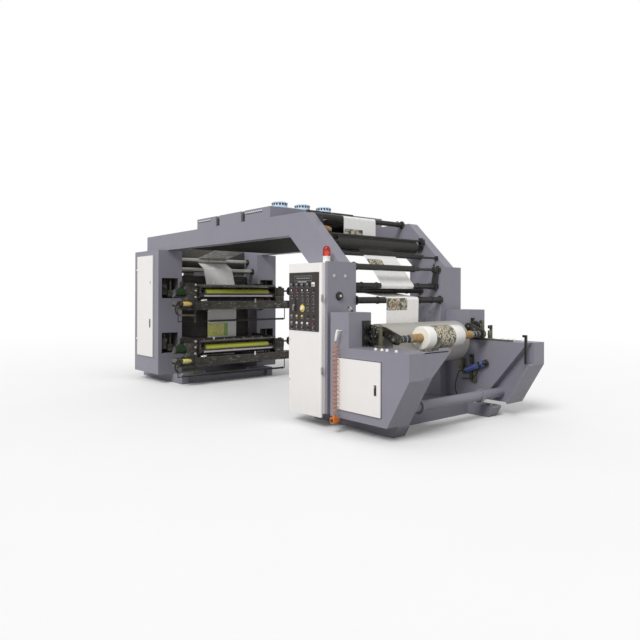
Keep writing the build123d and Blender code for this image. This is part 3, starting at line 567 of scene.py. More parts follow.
class Look(Enum):
    """Every finish of the press, each kept with the name of a material slot."""

    FRAME = (Coat("frame_enamel", srgb(139, 137, 148), 0.42, 0.035, 1.4, 0.00012, 240.0, soil=0.35),
             "frame_paint")
    WHITE = (Coat("white_powder_coat", srgb(243, 240, 237), 0.46, 0.015, 1.8, 0.0001, 420.0, soil=0.16,
                  soil_top=0.5),)
    # In the oiled steels the bright colour stands for worn metal and also for painted highlights.
    DARK = (OiledSteel("oiled_steel", srgb(56, 56, 53), srgb(74, 69, 58), srgb(176, 175, 168), 0.5),
            "dark_steel")
    WORN = (OiledSteel("worn_steel", srgb(112, 111, 106), srgb(84, 80, 70), srgb(196, 195, 188), 0.6,
                       0.34), "dark_steel")
    BEAM = (OiledSteel("oiled_beam", srgb(88, 87, 82), srgb(74, 68, 56), srgb(196, 194, 186), 0.6, 0.36),
            "dark_steel")
    STRIP = (GroundSteel("bright_strip", srgb(204, 198, 206), 0.34, 0.35, 0.1), "polished_steel")
    # Near-black painted shade: the bridge floor is coloured as dark as the shade on its underside.
    UNDERSIDE_SHADE = (Coat("duct_black", srgb(35, 34, 32), 0.82, 0.1, 5.0, gloss=0.12),)
    DRYER = (Coat("dryer_grey", srgb(78, 76, 72), 0.55, 0.14, 9.0, gloss=0.3), "dark_steel")
    BLACK = (Coat("black_enamel", srgb(38, 37, 36), 0.38, 0.12, 9.0, 0.0001, 300.0), "black_rubber")
    RUBBER = (Coat("black_rubber", srgb(46, 45, 43), 0.55, 0.1, 12.0, 0.00015, 500.0), "black_rubber")
    ROLLER = (GroundSteel("black_anodised_roller", srgb(52, 50, 47), 0.38, 0.25, 0.22),)
    LIGHT_ROLLER = (GroundSteel("anodised_roller", srgb(186, 185, 176), 0.32, 0.55),)
    STEEL = (GroundSteel("ground_steel", srgb(168, 168, 166), 0.26, 0.8), "polished_steel")
    DRUM = (GroundSteel("dull_chrome", srgb(188, 185, 178), 0.42, 0.35, 0.05), "drum_grey")
    ANILOX = (GroundSteel("engraved_anilox", srgb(104, 92, 96), 0.44, 0.5, 0.18),)
    PLATE = (Coat("printing_plate", srgb(74, 66, 72), 0.5, 0.25, 16.0, 0.0002, 180.0),)
    INK = (InkedRubber("yellow_ink_roller", srgb(204, 208, 62), srgb(178, 184, 84), srgb(120, 120, 84)),)
    FILM = (PrintedFilm("printed_film"),)
    WOUND = (WoundFilm("wound_film", ROLL_CENTRE), "film_plastic")
    SHAFT = (ShaftAndCore("shaft_and_core", 0.56),)
    CARD = (Coat("core_card", srgb(172, 140, 96), 0.8, 0.08, 30.0, 0.0002, 300.0), "olive_steel")
    PANEL = (Coat("panel_face", srgb(46, 38, 35), 0.5, 0.06, 6.0, 0.00008, 600.0),)
    FAN = (Coat("fan_enamel", srgb(190, 209, 226), 0.4, 0.04, 5.0), "fan_paint")
    GEAR = (Coat("switchgear", srgb(142, 144, 148), 0.55, 0.04, 12.0), "gear_grey")
    ZINC = (Coat("galvanised_plate", srgb(168, 170, 170), 0.35, 0.14, 24.0, 0.0001, 120.0, metallic=0.6),
            "polished_steel")
    BLUE = (Coat("cylinder_blue", srgb(104, 118, 186), 0.34, 0.06, 9.0, metallic=0.2), "cylinder_blue")
    OLIVE = (Coat("olive_zinc", srgb(104, 102, 82), 0.38, 0.2, 18.0, metallic=0.35), "olive_steel")
    GOLD = (Coat("gold_paint", srgb(232, 200, 120), 0.32, 0.08, 12.0, metallic=0.2), "olive_steel")
    LIME = (Coat("lime_paint", srgb(222, 214, 126), 0.36, 0.08, 12.0), "olive_steel")
    GREEN = (Coat("motor_green", srgb(38, 62, 36), 0.4, 0.1, 12.0), "olive_steel")
    BRASS = (Coat("brass", srgb(176, 148, 84), 0.3, 0.1, 30.0, metallic=0.8), "olive_steel")
    BRIGHT = (Coat("bright_zinc", srgb(206, 206, 202), 0.28, 0.06, 40.0, metallic=0.6), "polished_steel")
    ORANGE = (Coat("orange_hose", srgb(190, 118, 72), 0.3, 0.06, 40.0, coat=0.4), "hose_orange")
    AMBER = (Coat("amber_plastic", srgb(214, 120, 46), 0.35, 0.06, 30.0), "olive_steel")
    YELLOW = (Coat("yellow_plastic", srgb(228, 196, 66), 0.35, 0.04, 30.0), "olive_steel")
    RED = (Coat("red_plastic", srgb(186, 44, 36), 0.35, 0.05, 30.0), "beacon_red")
    PALE = (Coat("white_plastic", srgb(238, 238, 234), 0.4, 0.02, 30.0), "cabinet_white")
    GREY = (Coat("grey_plastic", srgb(150, 150, 150), 0.4, 0.04, 30.0), "gear_grey")
    LENS = (Lens("red_lens", srgb(168, 46, 36), 0.06), "beacon_red")
    LAMP = (Lens("lamp_glow", srgb(250, 214, 190), 1.2), "cabinet_white")
    GLASS = (Lens("meter_glass", srgb(200, 206, 208)), "cabinet_white")

    def __init__(self, finish: Finish, slot: str = "") -> None:
        """Keeps the finish and its slot, which is empty where it only dresses solids."""
        self.finish = finish
        self.slot = slot

    @cache
    def material(self) -> bpy.types.Material:
        """The finish's material, written once."""
        return self.finish.make()


def seat(name: str, data: bpy.types.ID, look: Look, body: Body = Body.FIXED) -> bpy.types.Object:
    """Makes an object, dresses it and lets it ride on its body.

    Args:
        name: the piece's name.
        data: its mesh or curve.
        look: its finish.
        body: the body that it rides on.

    Returns:
        The object.
    """
    data.materials.append(look.material())
    piece = bpy.data.objects.new(name, data)
    bpy.context.scene.collection.objects.link(piece)
    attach(piece, body.value)
    return piece


class Metal:
    """Collects the faces of one piece and turns them into an object."""

    def __init__(self) -> None:
        """Starts with no faces."""
        self.mesh = bmesh.new()

    def box(self, first: Point, second: Point, bevel: float = 0.0, steps: int = 2) -> "Metal":
        """Adds a box with rounded edges.

        Args:
            first: one corner.
            second: the corner opposite to it.
            bevel: edge radius.
            steps: facets of the edge.

        Returns:
            The piece.
        """
        low, high = (Vector(map(pick, first, second)) for pick in (min, max))
        size, centre = high - low, (high + low) / 2
        matrix = Matrix.Translation(centre) @ Matrix.Diagonal((*size, 1.0))
        made = bmesh.ops.create_cube(self.mesh, size=1.0, matrix=matrix)
        if bevel:
            edges = {edge for vert in made["verts"] for edge in vert.link_edges}
            bmesh.ops.bevel(self.mesh, geom=list(edges), offset=bevel, segments=steps, affect="EDGES",
                            profile=0.5)
        return self

    def turned(self, start: Point, axis: Vector, profile: list[Pair], sides: int = 32) -> "Metal":
        """Adds a solid of revolution.

        Args:
            start: the point on the axis that the profile counts from.
            axis: direction of the axis.
            profile: (distance along the axis, radius) from end to end.
            sides: facets round it.

        Returns:
            The piece.
        """
        along = axis.normalized()
        across = along.orthogonal().normalized()
        other = along.cross(across)
        rings = []
        for distance, radius in profile:
            middle = Vector(start) + along * distance
            if radius < 1e-6:
                rings.append([self.mesh.verts.new(middle)])
                continue
            rings.append(self.circle(middle, across, other, radius, sides))
        for first, second in zip(rings, rings[1:]):
            self.bridge(first, second)
        for ring in (rings[0], rings[-1]):
            if len(ring) > 1:
                self.mesh.faces.new(ring)
        return self

    def circle(self, middle: Vector, across: Vector, other: Vector, radius: float, sides: int) -> list:
        """Adds the points of a circle in the plane of two directions."""
        turns = (2 * math.pi * step / sides for step in range(sides))
        return [self.mesh.verts.new(middle + (across * math.cos(turn) + other * math.sin(turn)) * radius)
                for turn in turns]

    def bridge(self, first: list, second: list) -> None:
        """Joins two rings of points with faces, either of which may be one point.

        Args:
            first: one ring.
            second: the next ring.
        """
        count = max(len(first), len(second))
        for step in range(count):
            after = (step + 1) % count
            corners = [first[step % len(first)], first[after % len(first)], second[after % len(second)],
                       second[step % len(second)]]
            unique = list(dict.fromkeys(corners))
            if len(unique) > 2:
                self.mesh.faces.new(unique)

    def rod(self, start: Point, end: Point, radius: float, bevel: float = 0.0, sides: int = 24) -> "Metal":
        """Adds a round bar with softened ends.

        Args:
            start: middle of one end.
            end: middle of the other.
            radius: its radius.
            bevel: size of the softened edge.
            sides: facets round it.

        Returns:
            The piece.
        """
        axis = Vector(end) - Vector(start)
        length = axis.length
        soft = min(bevel, radius * 0.9, length * 0.45)
        profile = [(0.0, radius), (length, radius)]
        if soft > 0:
            profile = [(0.0, radius - soft), (soft * 0.3, radius - soft * 0.3), (soft, radius),
                       (length - soft, radius), (length - soft * 0.3, radius - soft * 0.3),
                       (length, radius - soft)]
        return self.turned(start, axis, profile, sides)

    def ring(self, centre: Point, axis: Vector, outer: float, wire: float, sides: int = 32) -> "Metal":
        """Adds a round wire ring.

        Args:
            centre: its middle.
            axis: the direction that it faces.
            outer: radius to the middle of the wire.
            wire: radius of the wire.
            sides: facets round it.

        Returns:
            The piece.
        """
        along = axis.normalized()
        across = along.orthogonal().normalized()
        other = along.cross(across)
        rings = []
        for step in range(sides):
            turn = 2 * math.pi * step / sides
            out = across * math.cos(turn) + other * math.sin(turn)
            middle = Vector(centre) + out * outer
            rings.append(self.circle(middle, out, along, wire, 8))
        for first, second in zip(rings, rings[1:] + rings[:1]):
            self.bridge(first, second)
        return self

    def tube(self, points: list[Point], radius: float) -> "Metal":
        """Adds a bent tube through points, rounded where it turns.

        Args:
            points: corners of its line.
            radius: its radius.

        Returns:
            The piece.
        """
        line = self.eased([Vector(point) for point in points], radius * 3)
        along = (line[1] - line[0]).normalized()
        across = along.orthogonal().normalized()
        rings = []
        for index, middle in enumerate(line):
            ahead = line[min(index + 1, len(line) - 1)]
            behind = line[max(index - 1, 0)]
            along = (ahead - behind).normalized()
            across = (across - along * across.dot(along)).normalized()
            other = along.cross(across)
            rings.append(self.circle(middle, across, other, radius, 12))
        for first, second in zip(rings, rings[1:]):
            self.bridge(first, second)
        for ring in (rings[0], rings[-1]):
            self.mesh.faces.new(ring)
        return self

    @staticmethod
    def eased(points: list[Vector], reach: float) -> list[Vector]:
        """A line with its corners rounded.

        Args:
            points: corners.
            reach: distance from a corner at which its curve starts.

        Returns:
            Points of the rounded line.
        """
        line = [points[0]]
        for before, corner, after in zip(points, points[1:], points[2:]):
            near = min(reach, (corner - before).length / 2, (after - corner).length / 2)
            first = corner + (before - corner).normalized() * near
            last = corner + (after - corner).normalized() * near
            for step in range(6):
                t = step / 5
                line.append(first * (1 - t) ** 2 + corner * 2 * t * (1 - t) + last * t * t)
        line.append(points[-1])
        return line

    def rim(self, low: Vector, high: Vector, faces: Pair, width: float) -> "Metal":
        """Adds four strips round a rectangle that faces along Y.

        Args:
            low: lowest corner of the rectangle.
            high: its highest corner.
            faces: the strips' two faces along Y.
            width: how wide they are.

        Returns:
            The piece.
        """
        near, far = faces
        for x0, z0, x1, z1 in ((low.x - width, low.z - width, low.x, high.z + width),
                               (high.x, low.z - width, high.x + width, high.z + width),
                               (low.x, low.z - width, high.x, low.z),
                               (low.x, high.z, high.x, high.z + width)):
            self.box((x0, near, z0), (x1, far, z1))
        return self

    def plate(self, outline: list[Point], thick: Vector) -> "Metal":
        """Adds a flat plate from its outline.

        Args:
            outline: its corners, in order.
            thick: the way and distance from its first face to its second.

        Returns:
            The piece.
        """
        first = [self.mesh.verts.new(Vector(point)) for point in outline]
        second = [self.mesh.verts.new(Vector(point) + thick) for point in outline]
        self.mesh.faces.new(first)
        self.mesh.faces.new(second)
        self.bridge(first, second)
        return self

    def done(self, name: str, look: Look, body: Body = Body.FIXED, crease: float = 40.0,
             slot: str = "") -> bpy.types.Object:
        """Makes the object, dresses it and lets it ride on its body.

        Args:
            name: the piece's name.
            look: its finish.
            body: the body that it rides on.
            crease: angle in degrees above which an edge stays sharp.
            slot: not used.

        Returns:
            The object.
        """
        bmesh.ops.recalc_face_normals(self.mesh, faces=self.mesh.faces[:])
        data = bpy.data.meshes.new(name)
        self.mesh.to_mesh(data)
        self.mesh.free()
        for polygon in data.polygons:
            polygon.use_smooth = True
        data.set_sharp_from_angle(angle=math.radians(crease))
        LOG.info("%s: %d faces", name, len(data.polygons))
        return seat(name, data, look, body)


@dataclass(frozen=True)
class Studio:
    """Camera at the photograph's angle, plain light and a pale floor."""

    place: Point = (7.638, -5.699, 1.55)
    yaw: float = 49.714
    pitch: float = 0.097
    roll: float = 0.173
    lens: float = 33.717
    shift: Pair = (-0.008, -0.0419)
    sun_height: float = 40.0
    sun_turn: float = 24.0
    sun_strength: float = 1.95
    sky: float = 0.62
    bounce: float = 0.28
    floor_half: float = 60.0
    fade: Pair = (7.0, 16.0)

    def camera(self) -> None:
        """Makes the scene's camera."""
        data = bpy.data.cameras.new("camera")
        data.lens = self.lens
        data.shift_x, data.shift_y = self.shift
        data.clip_end = 300.0
        camera = bpy.data.objects.new("camera", data)
        yaw, pitch, roll = (math.radians(turn) for turn in (self.yaw, self.pitch, self.roll))
        ahead = Vector((-math.sin(yaw) * math.cos(pitch), math.cos(yaw) * math.cos(pitch),
                        math.sin(pitch)))
        level = Vector((math.cos(yaw), math.sin(yaw), 0.0))
        above = level.cross(ahead)
        right = level * math.cos(roll) + above * math.sin(roll)
        top = above * math.cos(roll) - level * math.sin(roll)
        camera.matrix_world = Matrix.Translation(self.place) @ Matrix((right, top,
                                                                       -ahead)).transposed().to_4x4()
        bpy.context.scene.collection.objects.link(camera)
        bpy.context.scene.camera = camera

    def light(self) -> None:
        """Makes one soft sun and an even sky that cameras and mirrors see as white."""
        data = bpy.data.lights.new("sun", "SUN")
        data.energy = self.sun_strength
        data.angle = math.radians(24)
        sun = bpy.data.objects.new("sun", data)
        sun.rotation_euler = (math.radians(90 - self.sun_height), 0, math.radians(self.sun_turn))
        bpy.context.scene.collection.objects.link(sun)
        world = bpy.data.worlds.new("sky")
        bpy.context.scene.world = world
        world.use_nodes = True
        tree = world.node_tree
        tree.nodes.clear()
        output = tree.nodes.new("ShaderNodeOutputWorld")
        background = tree.nodes.new("ShaderNodeBackground")
        background.inputs["Color"].default_value = (1.0, 1.0, 1.0, 1.0)
        path = tree.nodes.new("ShaderNodeLightPath")
        seen = tree.nodes.new("ShaderNodeMath")
        seen.operation = "MAXIMUM"
        tree.links.new(path.outputs["Is Camera Ray"], seen.inputs[0])
        tree.links.new(path.outputs["Is Transmission Ray"], seen.inputs[1])
        level = tree.nodes.new("ShaderNodeMapRange")
        level.inputs["To Min"].default_value = self.sky
        level.inputs["To Max"].default_value = 1.0
        tree.links.new(seen.outputs[0], level.inputs["Value"])
        tree.links.new(level.outputs[0], background.inputs["Strength"])
        tree.links.new(background.outputs[0], output.inputs["Surface"])

    def floor(self) -> None:
        """Makes the pale floor, which turns into plain white far from the press."""
        sheet = Sheet("pale_floor")
        far = self.floor_half
        clouds = sheet.noise(0.6, 2.0)
        pale = sheet.blend(sheet.ramp(clouds), (0.94, 0.94, 0.94), (0.95, 0.95, 0.95))
        path = sheet.add("ShaderNodeLightPath")
        seen = sheet.math("MAXIMUM", path.outputs["Is Camera Ray"], path.outputs["Is Transmission Ray"])
        seen = sheet.math("MAXIMUM", seen, path.outputs["Is Glossy Ray"])
        sheet.colour(sheet.blend(seen, (self.bounce,) * 3, pale))
        sheet.set(Roughness=0.9, Specular_IOR_Level=0.0)
        distance = sheet.add("ShaderNodeVectorMath", operation="LENGTH")
        sheet.link(sheet.place, distance.inputs[0])
        fade = sheet.ramp(distance.outputs["Value"], *self.fade)
        white = sheet.add("ShaderNodeEmission")
        mix = sheet.add("ShaderNodeMixShader")
        sheet.link(fade, mix.inputs[0])
        sheet.link(sheet.shader.outputs[0], mix.inputs[1])
        sheet.link(white.outputs[0], mix.inputs[2])
        sheet.link(mix.outputs[0], sheet.output.inputs["Surface"])
        data = bpy.data.meshes.new("floor")
        corners = [(-far, -far, 0), (far, -far, 0), (far, far, 0), (-far, far, 0)]
        data.from_pydata(corners, [], [(0, 1, 2, 3)])
        data.materials.append(sheet.material)
        floor = bpy.data.objects.new("floor", data)
        bpy.context.scene.collection.objects.link(floor)

    def build(self) -> None:
        """Makes everything that isn't the press."""
        self.camera()
        self.light()
        self.floor()
        bpy.context.scene.view_settings.view_transform = "Standard"


@dataclass(frozen=True)
class AirHose:
    """Curly air hose between its outlet on the housing and the blow gun."""

    axis: Pair = (2.664, -1.33)
    exit: Point = (2.644, -1.33, 0.213)
    top: float = 1.032
    turns: int = 16
    per_turn: int = 16
    coil_radius: float = 0.033
    diameter: float = 0.0105
    lead: float = 0.014
    length: float = 3.36

    def route(self) -> list[Point]:
        """Points of the hose's line, from the outlet up to the gun.

        Returns:
            The control points.
        """
        x, y = self.axis
        start = x - self.exit[0]
        count = self.turns * self.per_turn
        points = [self.exit, (self.exit[0], y, self.exit[2] + self.lead)]
        low = self.exit[2] + 2 * self.lead
        high = self.top - 2 * self.lead
        for step in range(1, count):
            turn = math.pi - 2 * math.pi * step / self.per_turn
            ease = min(1.0, step / 12)
            close = min(1.0, (count - step) / 12)
            radius = (start + (self.coil_radius - start) * ease) * close
            sway = 0.0012 * math.sin(step * 0.37)
            points.append((x + (radius + sway * ease * close) * math.cos(turn),
                           y + radius * math.sin(turn), low + (high - low) * step / count))
        points.append((x, y, self.top - self.lead))
        points.append((x, y, self.top))
        return points

    def build(self) -> None:
        """Makes the hose and its fittings."""
        data = bpy.data.curves.new("curly_air_hose", "CURVE")
        data.dimensions = "3D"
        line = data.splines.new("NURBS")
        points = self.route()
        line.points.add(len(points) - 1)
        for point, place in zip(line.points, points):
            point.co = (*place, 1.0)
        line.order_u = 3
        line.use_endpoint_u = True
        data.resolution_u = 3
        data.bevel_depth = self.diameter / 2
        data.bevel_resolution = 2
        hose = seat("curly_air_hose", data, Look.ORANGE)
        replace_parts(hose, "coiled_hose")
        x, y = self.axis
        collar = Metal().rod((x, y, self.top - 0.012), (x, y, self.top + 0.004), 0.0095, 0.002)
        collar.rod((x, y, self.top - 0.004), (x, y, self.top + 0.002), 0.0125, 0.0015, 6)
        collar = collar.done("hose_gun_collar", Look.BRASS)
        nipple = Metal().rod(self.exit, (*self.exit[:2], self.exit[2] + 0.01), 0.0085, 0.001)
        nipple.rod((*self.exit[:2], self.exit[2] - 0.006), (*self.exit[:2], self.exit[2] + 0.002), 0.0235,
                   0.002, 6)
        nipple = nipple.done("hose_outlet_nipple", Look.BRASS)
        ring = Metal().ring((self.exit[0], y - 0.0345, 0.154), ACROSS, 0.019, 0.004)
        ring.rod((self.exit[0], y - 0.034, 0.154), (self.exit[0], y - 0.037, 0.154), 0.012, 0.001)
        ring.done("outlet_lock_ring", Look.DARK)
        base, tip = Vector((x, y, self.top)), Vector((x + 0.029, y, self.top + 0.13))
        way = (tip - base).normalized()
        gun = Metal().turned(base, way, [(0.0, 0.01), (0.006, 0.0135), (0.06, 0.015), (0.11, 0.0135),
                                         (0.126, 0.012), (0.133, 0.0)], 28)
        gun.rod(tip - way * 0.016, tip + Vector((0.022, 0.0, -0.008)), 0.0085, 0.002)
        gun.rod(tip - way * 0.02, (tip.x - 0.002, -1.26, tip.z - 0.018), 0.006, 0.001, 12)
        gun = gun.done("blow_gun_body", Look.PALE)
        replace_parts(gun, "blow_gun")
        trigger = Metal().tube([tip + Vector((0.012, 0, -0.012)), tip + Vector((0.02, 0, -0.05)),
                                base + way * 0.07 + Vector((0.018, 0, 0))], 0.0035)
        trigger.done("blow_gun_trigger", Look.BRIGHT)


def hex_bolts(name: str, places: list[Point], axis: Vector, radius: float) -> None:
    """Makes a group of hexagon bolts with washers.

    Args:
        name: the group's name.
        places: where their washers sit.
        axis: the way their heads face.
        radius: radius across a head's corners.
    """
    group = Metal()
    for place in places:
        group.turned(place, axis, [(0.0, radius * 1.4), (radius * 0.2, radius * 1.4),
                                   (radius * 0.25, radius * 1.3)], 20)
        group.turned(place, axis, [(radius * 0.2, radius), (radius * 0.85, radius),
                                   (radius * 0.95, radius * 0.86)], 6)
    group.done(name, Look.BRIGHT, crease=25.0)


def swing_handle(name: str, place: Point, height: float, body: Body = Body.FIXED, hand: int = -1) -> None:
    """Makes an upright swing handle with its lock on a door that faces along Y.

    Args:
        name: the handle's name.
        place: middle of its base on the door's face.
        height: length of its plate.
        body: the body that it rides on.
        hand: -1 where the door faces -Y, 1 where it faces +Y.
    """
    x, y, z = place
    half = height / 2
    base = Metal().box((x - 0.0165, y, z - half), (x + 0.0165, y + hand * 0.004, z + half), 0.0018)
    base.box((x - 0.013, y + hand * 0.0035, z - half * 0.92),
             (x + 0.013, y + hand * 0.0083, z + half * 0.92), 0.002)
    base.done(name, Look.BLACK, body)
    lock = Metal().turned((x, y + hand * 0.0035, z + half * 0.7), ACROSS * hand,
                          [(0.0, 0.0078), (0.0046, 0.0078), (0.0052, 0.0066), (0.0052, 0.0)], 20)
    lock.done(f"{name}_lock", Look.BRIGHT, body)


@dataclass(frozen=True)
class PrintTower:
    """The tall box of the printing tower: frames, doors and base."""

    handle_height: float = 0.15
    bolt_inset: float = 0.055
    well: Pair = (0.868, 1.166)
    well_faces: Pair = (-2.055, -3.035)
    dryer_x: Pair = (-2.42, -2.28)
    dryer_z: Pair = (0.45, 1.88)
    dryer_half: float = 0.73
    seal: float = 0.006

    def build(self) -> None:
        """Dresses the frames, the door and the base."""
        low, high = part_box("tower_door")
        face = high.y - 0.0205
        handle_x = high.x - 0.099
        swing_handle("tower_door_handle", (handle_x, face, 1.035), self.handle_height, Body.TOWER_DOOR)
        lock = Metal().box((handle_x + 0.002, face - 0.003, 1.715), (handle_x + 0.018, face, 1.775), 0.0012)
        lock.turned((handle_x + 0.01, face - 0.002, 1.745), -ACROSS,
                    [(0.0, 0.006), (0.003, 0.006), (0.004, 0.004), (0.004, 0.0)], 16)
        lock.done("tower_door_upper_lock", Look.GREY, Body.TOWER_DOOR)
        self.hinge_leaves(low, face)
        self.seals()
        self.slide_wells()
        self.dryers()
        self.base_bolts()

    def hinge_leaves(self, low: Vector, face: float) -> None:
        """Screws on the hinge leaves of the tower door.

        Args:
            low: lowest corner of the door.
            face: its front face along Y.
        """
        places = [(low.x + 0.026, face, z + rise) for z in (0.72, 1.96) for rise in (-0.022, -0.008)]
        screws = Metal()
        for place in places:
            screws.turned(place, -ACROSS, [(0.0, 0.0042), (0.0014, 0.0036), (0.002, 0.0)], 16)
        screws.done("tower_hinge_screws", Look.BRIGHT, Body.TOWER_DOOR)

    def seals(self) -> None:
        """Rubber seal that shows as a thin dark line round the closed door and the drive cover."""
        seal = Metal()
        for node, hinge, hand in (("tower_door", 0.021, -1), ("drive_tower_cover", 0.0, 1)):
            low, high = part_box(node)
            seal.rim(low + Vector((hinge, 0, 0)), high, (hand * 1.2372, hand * 1.2395), self.seal)
        seal.done("tower_door_seals", Look.RUBBER)

    def slide_wells(self) -> None:
        """Lining painted dark as shade in the frames' openings beside each deck, with slide block and
        screws.
        """
        shade_lining, slides = Metal(), Metal()
        for hand in (-1, 1):
            near, far = sorted((hand * self.well[0], hand * self.well[1]))
            for face, way in zip(self.well_faces, (-1, 1)):
                for height in DECK_HEIGHTS.values():
                    low, high = height - 0.094, height + 0.254
                    back = face + way * 0.227
                    front = face + way * 0.006
                    # The lining's dark grey is painted shade inside the openings.
                    shade_lining.box((back, near, low), (back - way * 0.004, far, high))
                    for edge in (near, far - 0.002):
                        shade_lining.box((front, edge, low), (back, edge + 0.002, high))
                    for edge in (low, high - 0.002):
                        shade_lining.box((front, near, edge), (back, far, edge + 0.002))
                    middle = face + way * 0.11
                    slides.box((middle - 0.035, near + 0.05, low + 0.06),
                               (middle + 0.035, near + 0.13, high - 0.1), 0.006)
                    slides.box((middle - 0.05, near + 0.15, low + 0.02),
                               (middle + 0.03, far - 0.05, low + 0.14), 0.006)
                    for y, rise in ((near + 0.09, 0.285), (far - 0.09, 0.09)):
                        slides.rod((middle, y, low + rise - 0.03), (middle, y, high - 0.02), 0.014, 0.002)
                        slides.rod((middle, y, low + rise), (middle, y, low + rise + 0.025), 0.026, 0.002,
                                   6)
        shade_lining.done("slide_wells", Look.DRYER)
        slides.done("slide_blocks", Look.WORN)

    def dryers(self) -> None:
        """Drying ducts between the webs inside the tower, with their slots and flanges."""
        ducts = Metal()
        (x0, x1), (z0, z1) = self.dryer_x, self.dryer_z
        ducts.box((x0, -self.dryer_half, z0), (x1, self.dryer_half, z1), 0.006)
        ducts.box((-2.98, -0.788, 2.05), (-2.5, 0.788, 2.385), 0.006)
        for level in range(7):
            z = z0 + 0.12 + 0.2 * level
            ducts.box((x1 - 0.002, -self.dryer_half + 0.03, z),
                      (x1 + 0.01, self.dryer_half - 0.03, z + 0.035), 0.003)
            ducts.box((x0 - 0.01, -self.dryer_half + 0.03, z),
                      (x0 + 0.002, self.dryer_half - 0.03, z + 0.035), 0.003)
        for hand in (-1, 1):
            near, far = hand * self.dryer_half, hand * FRAME_INNER
            for z in (z0 + 0.15, z1 - 0.25):
                ducts.box((x0 + 0.02, near, z), (x1 - 0.02, far, z + 0.1), 0.003)
        ducts.done("tower_dryers", Look.DRYER)
        stay = Metal().box((-2.3, 0.69, 1.76), (-2.245, 0.716, 2.05), 0.004)
        stay.box((-2.3, 0.69, 1.74), (-2.215, 0.716, 1.775), 0.004)
        stay.box((-2.29, 0.7, 1.93), (-2.255, 0.791, 1.97), 0.004)
        for z in (1.8, 1.9, 2.01):
            stay.rod((-2.247, 0.703, z), (-2.238, 0.703, z), 0.008, 0.001, 6)
        stay.done("web_lead_stay", Look.ZINC)

    def base_bolts(self) -> None:
        """Levelling bolts along the edges of the base."""
        low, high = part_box("print_base")
        ends = (low.x + 0.1, high.x - 0.1)
        places = [(x, y, high.z) for x in ends for y in (low.y + self.bolt_inset, -0.45, 0.45,
                                                         high.y - self.bolt_inset)]
        hex_bolts("print_base_bolts", places, UP, 0.018)


class DeckSide(Enum):
    """The side of the printing tower that a deck stands on."""

    FRONT = 1
    REAR = -1


